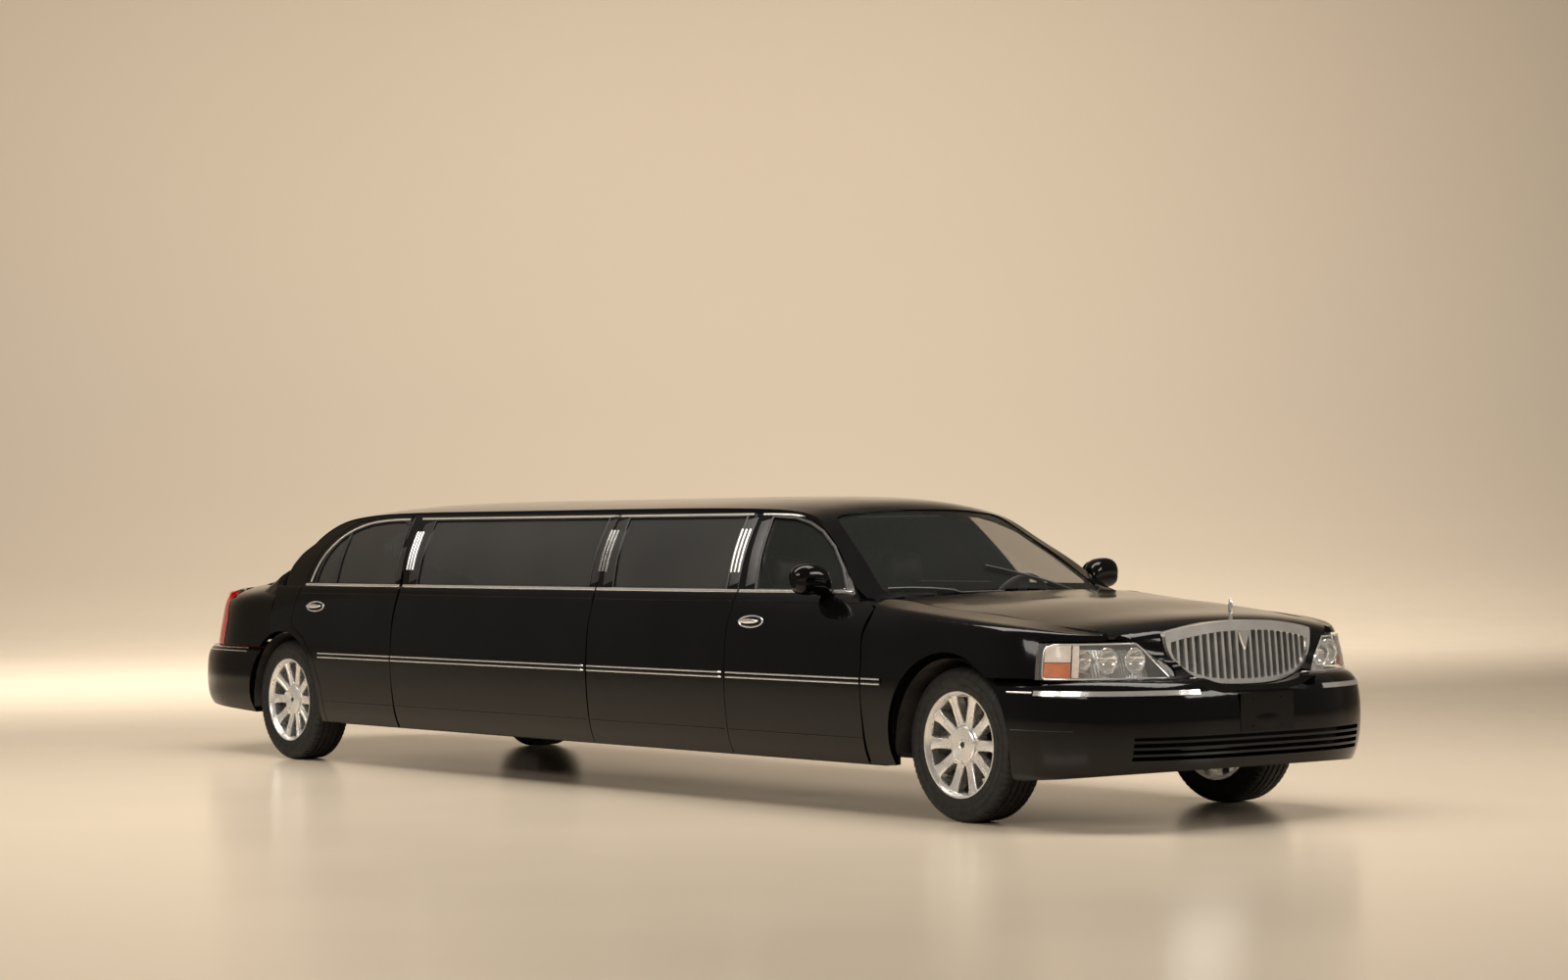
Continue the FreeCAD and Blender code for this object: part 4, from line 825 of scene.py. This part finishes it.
def make_lug_nuts(wheel, side):
    hub = centre("tyre_" + wheel)
    vertices = []
    faces = []
    for lug in range(LUGS):
        turn = 2 * math.pi * lug / LUGS
        x = hub.x + LUG_CIRCLE * math.sin(turn)
        z = hub.z + LUG_CIRCLE * math.cos(turn)
        faces += ring_faces(LUG_SIDES, len(LUG_LINE), flip=side < 0, start=len(vertices))
        for i in range(LUG_SIDES):
            angle = 2 * math.pi * i / LUG_SIDES
            out = Vector((math.cos(angle), 0, math.sin(angle)))
            for radius, offset in LUG_LINE:
                vertices.append(Vector((x, hub.y + side * offset, z)) + out * radius)
    add_mesh("lug_nuts_" + wheel, vertices, faces, "chrome", body_name("rim_" + wheel))


def make_wheel_house(wheel, side):
    """A dark liner over the wheel, inside the body."""
    hub = centre("tyre_" + wheel)
    vertices = []
    for step in range(HOUSE_STEPS + 1):
        angle = math.radians(-8 + 196 * step / HOUSE_STEPS)
        x = hub.x + HOUSE_RADIUS * math.cos(angle)
        z = hub.z + HOUSE_RADIUS * math.sin(angle)
        vertices.extend((x, side * y, z) for y in HOUSE_WIDTHS)
    faces = grid_faces(HOUSE_STEPS, len(HOUSE_WIDTHS) - 1, flip=side > 0)
    add_mesh("wheel_house_" + wheel, vertices, faces, "chassis", "root")


def make_wheels():
    for wheel, side in WHEELS:
        make_tyre(wheel, side)
        make_spoke_faces(wheel, side)
        make_hub(wheel, side)
        make_lug_nuts(wheel, side)
        make_wheel_house(wheel, side)


# Lamps. Angles go round a point inside each corner of the body, from straight ahead to straight out.

HEAD_CENTRE = Vector((FRONT_AXLE + 0.4815, 0.50, 0))
TAIL_CENTRE = Vector((REAR_AXLE - 0.7805, 0.50, 0))


class Corner:
    """Finds points on the outside of a node round a corner of the body."""

    def __init__(self, node, middle, side, ahead):
        self.tree = surface_of([node])
        self.middle = Vector((middle.x, side * middle.y, 0))
        self.side = side
        self.ahead = ahead

    def place(self, angle, height, depth=0.0):
        turn = math.radians(angle)
        out = Vector((self.ahead * math.cos(turn), self.side * math.sin(turn), 0))
        start = self.middle + Vector((0, 0, height)) + out * 1.2
        hit, normal, _, _ = self.tree.ray_cast(start, -out, 1.3)
        if hit is None:
            return None, None
        if normal.dot(out) < 0:
            normal = -normal
        return hit - normal * depth, normal

    def line(self, points):
        places = []
        normals = []
        for angle, height in points:
            place, normal = self.place(angle, height)
            if place is not None:
                places.append(place)
                normals.append(normal)
        return places, normals


SLAB_COLUMNS = 14
SLAB_ROWS = 5


def curved_slab(name, corner, angles, heights, depth, thick, finish):
    """A closed slab that follows a body corner, between two angles and two heights."""
    front = []
    back = []
    for i in range(SLAB_COLUMNS + 1):
        for j in range(SLAB_ROWS + 1):
            height = heights[0] + (heights[1] - heights[0]) * j / SLAB_ROWS
            low, high = angles(height) if callable(angles) else angles
            angle = low + (high - low) * i / SLAB_COLUMNS
            place, normal = corner.place(angle, height, depth)
            front.append(place)
            back.append(place - normal * thick)
    count = len(front)
    width = SLAB_ROWS + 1
    last = SLAB_COLUMNS * width
    faces = grid_faces(SLAB_COLUMNS, SLAB_ROWS)
    faces += [tuple(count + i for i in face) for face in grid_faces(SLAB_COLUMNS, SLAB_ROWS, flip=True)]
    rim = list(range(0, last + 1, width)) + list(range(last + 1, last + width))
    rim += list(range(last - 1, SLAB_ROWS - 1, -width)) + list(range(SLAB_ROWS - 1, 0, -1))
    faces += [(here, there, count + there, count + here) for here, there in zip(rim, rim[1:] + rim[:1])]
    mend_normals(add_mesh(name, front + back, faces, finish, "root"))


# Angle, radius and number of lobes of each lamp bowl; a bowl's section as (depth, share of the radius).
BOWLS = ((46.5, 0.052, 4), (31, 0.059, 0), (12.5, 0.059, 0))
BOWL_LINE = ((0.000, 1.0), (0.004, 0.97), (0.004, 0.93), (-0.004, 0.90), (-0.022, 0.66), (-0.034, 0.36),
             (-0.036, 0.20), (-0.020, 0.19), (-0.010, 0.15), (-0.006, 0.0))
BOWL_STEPS = 64
BOWL_HEIGHT = 0.741


def make_bowl(name, middle, radius, lobes):
    """A round lamp reflector facing forward: faceted bowl, bulb cover and bright ring."""
    vertices = []
    ring = []
    for step in range(BOWL_STEPS):
        angle = 2 * math.pi * step / BOWL_STEPS
        out = Vector((0, math.cos(angle), math.sin(angle)))
        wave = 1 - 0.07 * abs(math.sin(lobes * angle / 2)) if lobes else 1
        for i, (x, share) in enumerate(BOWL_LINE):
            facet = 1 - 0.05 * (step % 8 == 0) if 3 <= i <= 5 else 1
            vertices.append(middle + out * (radius * share * wave * facet) + Vector((x, 0, 0)))
        ring.append(middle + out * (radius * 0.975) + Vector((0.004, 0, 0)))
    mend_normals(add_mesh(name, vertices, ring_faces(BOWL_STEPS, len(BOWL_LINE)), "reflector", "root"))
    ahead = [Vector((1, 0, 0))] * BOWL_STEPS
    sweep(name + "_ring", ring, ahead, 0.0028, 0.0028, "chrome", "root", closed=True)


LAMP_LOW = 0.666
LAMP_HIGH = 0.8165


def bed_angles(height):
    """The headlamp's inner end slants back towards its top."""
    return 1 + max(0.0, -8 + (height - 0.668) / 0.14 * 20), 60


def make_headlamp(side_name, side):
    corner = Corner("headlamps", HEAD_CENTRE, side, 1)
    for name, angles, heights, depth, thick, finish in (
            ("bed", bed_angles, (0.670, 0.814), 0.098, 0.002, "lamp_bed"),
            ("turn", (59.5, 75), (0.672, 0.735), 0.004, 0.010, "amber"),
            ("marker", (59.5, 75), (0.740, 0.812), 0.004, 0.010, "pale_ribs"),
            ("divider", (54.5, 58.5), (0.672, 0.812), 0.006, 0.014, "pale_ribs")):
        curved_slab(f"lamp_{name}_{side_name}", corner, angles, heights, depth, thick, finish)
    for number, (angle, radius, lobes) in enumerate(BOWLS, start=1):
        place, _ = corner.place(angle, 0.742)
        set_back = 0.030 + radius * math.tan(math.radians(angle)) * 0.62
        middle = Vector((place.x - set_back, place.y, BOWL_HEIGHT))
        make_bowl(f"lamp_bowl_{number}_{side_name}", middle, radius, lobes)
    outline = [(angle, LAMP_LOW) for angle in range(74, -6, -4)]
    outline += [(-6 + 3.6 * i, LAMP_LOW + (LAMP_HIGH - LAMP_LOW) * i / 5) for i in range(5)]
    outline += [(angle, LAMP_HIGH) for angle in range(14, 72, 4)]
    outline += [(74.5, LAMP_HIGH - 0.012), (75.5, LAMP_HIGH - 0.03), (75.8, 0.74), (75.8, 0.70),
                (75.5, LAMP_LOW + 0.008)]
    places, normals = corner.line(outline)
    places = [place - normal * 0.0015 for place, normal in zip(places, normals)]
    sweep("lamp_rim_" + side_name, places, normals, 0.0032, 0.0012, "reflector", "root", closed=True)


# The tail lens on the corner: heights, the angle where it leaves the lamp, how it bulges and stands proud.
WRAP_LOW = 0.662
WRAP_HIGH = 0.968
WRAP_ANGLE = 60
WRAP_BOW = 0.012
WRAP_PROUD = 0.003
WRAP_COLUMNS = 16
WRAP_ROWS = 12


def make_tail_lens(side_name, side, lamp):
    """Reflector blocks and the lens that wraps on to the quarter."""
    for number, heights in enumerate(((0.672, 0.762), (0.770, 0.860), (0.868, 0.950)), start=1):
        curved_slab(f"tail_bed_{number}_{side_name}", lamp, (26, 58), heights, 0.012, 0.004, "red_bed")
    quarter = Corner("quarter_" + side_name, TAIL_CENTRE, side, -1)
    columns = []
    for step in range(WRAP_COLUMNS + 1):
        share = step / WRAP_COLUMNS
        proud = WRAP_BOW * math.sin(math.pi * share) + WRAP_PROUD
        column = []
        for level in range(WRAP_ROWS + 1):
            height = WRAP_LOW + (WRAP_HIGH - WRAP_LOW) * level / WRAP_ROWS
            inner, _ = lamp.place(WRAP_ANGLE, height)
            outer, normal = quarter.place(97 - 5 * abs(2 * level / WRAP_ROWS - 1), height)
            column.append(inner.lerp(outer, share) + normal * proud)
        columns.append(column)
    patch("tail_lens_wrap_" + side_name, columns, "red", "root")


# The painted corner over the lamp, between the lid's edge and the lamp's rim.
LID_EDGE_HEIGHT = 0.985
LAMP_RIM_HEIGHT = 0.960
LID_GAP = 0.006
CORNER_ROWS = 8


def make_tail_corner(side_name, side, lamp):
    lid = Corner("trunk_lid", TAIL_CENTRE, side, -1)
    columns = []
    for angle in range(18, 97, 6):
        edge, _ = lid.place(angle, LID_EDGE_HEIGHT)
        rim, _ = lamp.place(min(angle, 66), LAMP_RIM_HEIGHT)
        if edge is None or rim is None:
            continue
        turn = math.radians(angle)
        out = Vector((-math.cos(turn), side * math.sin(turn), 0))
        top, _, _, _ = lid.tree.ray_cast(edge - out * 0.014 + Vector((0, 0, 0.3)), Vector((0, 0, -1)), 0.5)
        inner = edge + out * LID_GAP
        inner.z = top.z - 0.003
        reach = (rim - lamp.middle).to_2d().length + max(0.0, 0.0008 * (angle - 66))
        outer = lamp.middle + out * (reach + 0.003)
        outer.z = 0.969
        column = []
        for step in range(CORNER_ROWS + 1):
            share = step / CORNER_ROWS
            column.append(inner.lerp(outer, share) + Vector((0, 0, 0.045 * share * (1 - share))))
        columns.append(column)
    patch("tail_corner_" + side_name, columns, "paint", "root")


def make_bumper_chrome(side_name, side):
    front = Corner("front_bumper", Vector((FRONT_AXLE + 0.35, 0.385, 0)), side, 1)
    rear = Corner("rear_bumper", Vector((REAR_AXLE - 0.55, 0.50, 0)), side, -1)
    for name, corner, angles, height, half_width, proud, finish, section in (
            ("bumper_chrome", front, range(0, 71, 2), 0.603, 0.0115, 0.0045, "chrome", SLAB),
            ("bumper_chrome_line", front, range(71, 86, 2), 0.606, 0.0035, 0.003, "chrome", BEAD),
            ("bumper_crease", front, range(52, 88, 3), 0.44, 0.0025, 0.002, "paint", BEAD),
            ("rear_bumper_chrome", rear, range(14, 102, 3), 0.648, 0.0055, 0.005, "chrome", SLAB),
            ("rear_bumper_line", rear, range(14, 102, 3), 0.628, 0.0025, 0.0025, "satin_chrome", BEAD)):
        places, normals = corner.line([(angle, height) for angle in angles])
        sweep(f"{name}_{side_name}", places, normals, half_width, proud, finish, "root", section=section)


# Grille, windshield wipers and other front details

GRILLE_FACE = FRONT_AXLE + 0.862
DROP_FACE = FRONT_AXLE + 0.918
GRILLE_LEAN = 0.0875
GRILLE_BASE = 0.625
NET_COLUMNS = 24
NET_ROWS = 8
DROP_OUTLINE = ((-0.036, 0.878), (-0.030, 0.884), (0.030, 0.884), (0.036, 0.878), (0.034, 0.852),
                (0.022, 0.815), (0.008, 0.782), (0.0, 0.774), (-0.008, 0.782), (-0.022, 0.815),
                (-0.034, 0.852))
DROP_MIDDLE = 0.842
DROP_RINGS = ((1.0, -0.016), (1.0, 0.0), (0.82, 0.004), (0.74, 0.001), (0.0, 0.003))


def make_grille_net():
    """The dark net behind the grille bars."""
    low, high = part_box("grille")
    half = high.y - 0.022
    top = high.z - 0.030
    base = low.z + 0.020
    vertices = []
    for i in range(NET_COLUMNS + 1):
        share = -0.985 + 1.97 * i / NET_COLUMNS
        y = share * half
        upper = top - 0.046 * abs(share) ** 2.2
        angle = math.acos(min(1.0, abs(share) ** (1 / 0.72)))
        lower = upper - (upper - base) * math.sin(angle) ** 0.82
        for j in range(NET_ROWS + 1):
            z = lower + (upper - lower) * j / NET_ROWS
            vertices.append((GRILLE_FACE - (z - GRILLE_BASE) * GRILLE_LEAN - y * y / 5.2, y, z))
    add_mesh("grille_back", vertices, grid_faces(NET_COLUMNS, NET_ROWS, flip=True), "seal", "root")


def make_grille_drop():
    """The plain drop at the top of the grille bars."""
    vertices = []
    for y, z in DROP_OUTLINE:
        for share, rise in DROP_RINGS:
            height = DROP_MIDDLE + (z - DROP_MIDDLE) * share
            vertices.append((DROP_FACE - (height - GRILLE_BASE) * GRILLE_LEAN + rise, y * share, height))
    faces = ring_faces(len(DROP_OUTLINE), len(DROP_RINGS))
    mend_normals(add_mesh("grille_drop", vertices, faces, "chrome", "root"))


def top_line(names, points, lift):
    """Points on the upper surface of some nodes, from (x, y) places."""
    starts = [Vector((x, y, 2)) for x, y in points]
    places, normals = hits(surface_of(names), starts, Vector((0, 0, -1)), 2)
    return [place + normal * lift for place, normal in zip(places, normals)], normals


WIPERS = {
    "left": ((behind(0.60), 0.62), (behind(0.835), -0.02)),
    "right": ((behind(0.60), -0.10), (behind(0.80), -0.66)),
}
WIPER_STEPS = 16


def make_wipers():
    for name, (pivot, tip) in WIPERS.items():
        points = [Vector(pivot).lerp(Vector(tip), i / WIPER_STEPS) for i in range(WIPER_STEPS + 1)]
        places, normals = top_line(["cowl", "windshield", "roof"], points, 0.010)
        sweep("wiper_" + name, places, normals, 0.007, 0.006, "satin", "root")
    for number in range(9):
        x = behind(0.50 + 0.014 * number)
        places, normals = top_line(["cowl"], [(x, -0.62 + 0.124 * i) for i in range(11)], 0.0005)
        sweep(f"cowl_slat_{number}", places, normals, 0.004, 0.003, "satin", "root")


def make_handle_cups():
    """A chrome ring on the door round each handle."""
    turns = [2 * math.pi * i / 40 for i in range(40)]
    for place in ("front", "rear"):
        for side_name, side in SIDES:
            middle = centre(f"handle_{place}_{side_name}")
            door = f"door_{place}_{side_name}"
            loop = [(middle.x + 0.094 * math.cos(turn), middle.z - 0.002 + 0.027 * math.sin(turn))
                    for turn in turns]
            side_strip(f"handle_cup_{place}_{side_name}", body_name(door), door, side, loop, 0.0035, 0.003,
                       "chrome", closed=True)


MIRROR_ASIDE = 0.941
MIRROR_HALF_WIDTH = 0.080
MIRROR_HALF_HEIGHT = 0.053
MIRROR_RINGS = 4
MIRROR_STEPS = 32


def make_mirror_glass():
    for side_name, side in SIDES:
        low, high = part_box("mirror_" + side_name)
        middle = Vector((low.x + 0.0004, side * MIRROR_ASIDE, (low.z + high.z) / 2 + 0.012))
        vertices = [middle]
        for step in range(MIRROR_STEPS):
            angle = 2 * math.pi * step / MIRROR_STEPS
            for ring in range(1, MIRROR_RINGS + 1):
                share = ring / MIRROR_RINGS
                y = MIRROR_HALF_WIDTH * share * math.cos(angle)
                z = MIRROR_HALF_HEIGHT * share * math.sin(angle)
                vertices.append(middle + Vector((0.004 * share ** 6, y, z)))
        faces = ring_faces(MIRROR_STEPS, MIRROR_RINGS, start=1)
        faces += [(0, 1 + step * MIRROR_RINGS, 1 + (step + 1) % MIRROR_STEPS * MIRROR_RINGS)
                  for step in range(MIRROR_STEPS)]
        mirror = "mirror_" + side_name
        mend_normals(add_mesh("mirror_glass_" + side_name, vertices, faces, "mirror", body_name(mirror)))


# Soft goods: the seats

EDGE_ROUND = 0.045
SOFT_FRAMES = 16
SOFT_CAP = 0.018
SEAT_ASIDE = 0.37
SEAT_BACK = behind(1.82)


def soft_block(name, low, high, lean, voxel):
    """A rounded block of foam, made a little smaller than its place and filled by cloth pressure."""
    low = Vector(low)
    high = Vector(high)
    middle = (low + high) / 2
    block = bmesh.new()
    bmesh.ops.create_cube(block, size=1)
    for vertex in block.verts:
        vertex.co = Vector(vertex.co[i] * (high - low)[i] for i in range(3))
    bmesh.ops.bevel(block, geom=block.edges[:] + block.verts[:], offset=EDGE_ROUND, segments=4, profile=0.6,
                    affect="EDGES")
    mesh = bpy.data.meshes.new(name)
    block.to_mesh(mesh)
    block.free()
    piece = place_object(name, mesh)
    remesh = piece.modifiers.new("voxels", "REMESH")
    remesh.mode = "VOXEL"
    remesh.voxel_size = voxel
    bake(piece)
    fill_with_air(piece)
    turn = Matrix.Rotation(math.radians(lean), 4, "Y")
    for vertex in piece.data.vertices:
        vertex.co = middle + (turn @ vertex.co)
    for polygon in piece.data.polygons:
        polygon.use_smooth = True
    piece.data.materials.clear()
    piece.data.materials.append(MATERIALS["leather"])
    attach(piece, "root")
    return piece


def bake(piece):
    """The piece's modifiers are made part of its mesh."""
    depsgraph = bpy.context.evaluated_depsgraph_get()
    mesh = bpy.data.meshes.new_from_object(piece.evaluated_get(depsgraph))
    piece.modifiers.clear()
    piece.data = mesh


def fill_with_air(piece):
    """Cloth pressure swells the piece, by no more than the cap."""
    before = [vertex.co.copy() for vertex in piece.data.vertices]
    cloth = piece.modifiers.new("cloth", "CLOTH")
    cloth.settings.use_pressure = True
    cloth.settings.uniform_pressure_force = 4
    cloth.settings.effector_weights.gravity = 0
    cloth.settings.quality = 4
    cloth.point_cache.frame_start = 1
    cloth.point_cache.frame_end = SOFT_FRAMES
    for step in range(1, SOFT_FRAMES + 1):
        bpy.context.scene.frame_set(step)
    bake(piece)
    bpy.context.scene.frame_set(1)
    for vertex, old in zip(piece.data.vertices, before):
        moved = vertex.co - old
        if moved.length > SOFT_CAP:
            vertex.co = old + moved.normalized() * SOFT_CAP


def make_seats():
    """Front seats with head rests and rails, and the rear bench; each has a cushion and a leaning back."""
    x = SEAT_BACK
    for side_name, side in SIDES:
        y = side * SEAT_ASIDE
        soft_block("seat_cushion_" + side_name, (x + 0.07, y - 0.235, 0.405),
                                   (x + 0.485, y + 0.235, 0.565), 0, 0.012)
        soft_block("seat_back_" + side_name, (x - 0.125, y - 0.23, 0.565), (x - 0.015, y + 0.23, 1.045),
                   -18, 0.012)
        soft_block("head_rest_" + side_name, (x - 0.155, y - 0.122, 1.04), (x - 0.075, y + 0.122, 1.20),
                   -6, 0.009)
    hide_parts("front_seats")

    x = REAR_AXLE + 0.58
    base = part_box("rear_seat")[0].z
    bench = soft_block("bench_cushion", (x + 0.12, -0.64, base + 0.01), (x + 0.51, 0.64, base + 0.25),
                       0, 0.018)
    soft_block("bench_back", (x - 0.10, -0.63, base + 0.20), (x + 0.03, 0.63, base + 0.76), -20, 0.018)
    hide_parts("rear_seat")

    for side_name, side in SIDES:
        y = side * (SEAT_ASIDE + 0.18)
        places = [Vector((SEAT_BACK + 0.06 + 0.42 * i / 8, y, 0.36)) for i in range(9)]
        sweep("seat_rail_" + side_name, places, [Vector((0, side, 0))] * 9, 0.02, 0.02, "chassis", "root")


def make_carpet():
    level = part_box("front_seats")[0].z + 0.004
    start = behind(0.62)
    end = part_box("rear_seat")[1].x
    steps = 60
    columns = []
    for i in range(steps + 1):
        x = start + (end - start) * i / steps
        columns.append([(x, -0.60 + 0.15 * j, level + 0.0015 * math.sin(i * 1.7) * math.cos(j * 2.1))
                        for j in range(9)])
    patch("carpet", columns, "carpet", "root")


# The patch at the rear pillar's foot: its start behind the front axle, its outer edge, and its slopes.
FOOT_START = 6.148
FOOT_OUTSIDE = 0.935
FOOT_SLOPE_ALONG = 0.4
FOOT_SLOPE_ACROSS = 2.5
FOOT_COLUMNS = 34
FOOT_ROWS = 21
FOOT_STEP = 0.01


def make_pillar_foot(side_name, side):
    """Slopes the foot of the rear roof pillar down into the quarter, as one pressing does."""
    tree = surface_of(["roof", "quarter_" + side_name])
    grid = [(i, j) for i in range(FOOT_COLUMNS + 1) for j in range(FOOT_ROWS + 1)]
    places = {(i, j): (behind(FOOT_START + i * FOOT_STEP), side * (FOOT_OUTSIDE - j * FOOT_STEP))
              for i, j in grid}
    heights = {}
    for spot, (x, y) in places.items():
        hit, _, _, _ = tree.ray_cast(Vector((x, y, 1.6)), Vector((0, 0, -1)), 1.0)
        if hit is not None:
            heights[spot] = hit.z
    columns = []
    for i in range(FOOT_COLUMNS + 1):
        column = []
        for j in range(FOOT_ROWS + 1):
            if i in (0, FOOT_COLUMNS) or j in (0, FOOT_ROWS):
                top = heights.get((i, j), 0.95) - 0.03
            else:
                top = -0.0015 + max(height - FOOT_SLOPE_ALONG * FOOT_STEP * abs(i - a)
                                    - FOOT_SLOPE_ACROSS * FOOT_STEP * abs(j - b)
                                    for (a, b), height in heights.items())
            column.append((*places[i, j], top))
        columns.append(column)
    patch("pillar_foot_" + side_name, columns, "paint", "root")


def make_trim():
    make_side_mouldings()
    make_window_trim()
    make_pillar_covers()
    make_wheels()
    for side_name, side in SIDES:
        make_headlamp(side_name, side)
        lamp = Corner("taillamps", TAIL_CENTRE, side, -1)
        make_tail_lens(side_name, side, lamp)
        make_tail_corner(side_name, side, lamp)
        make_bumper_chrome(side_name, side)
        make_pillar_foot(side_name, side)
    make_grille_net()
    make_grille_drop()
    make_wipers()
    make_handle_cups()
    make_mirror_glass()
    make_seats()
    make_carpet()


make_camera()
paint_nodes()
make_stage()
light_stage()
make_trim()
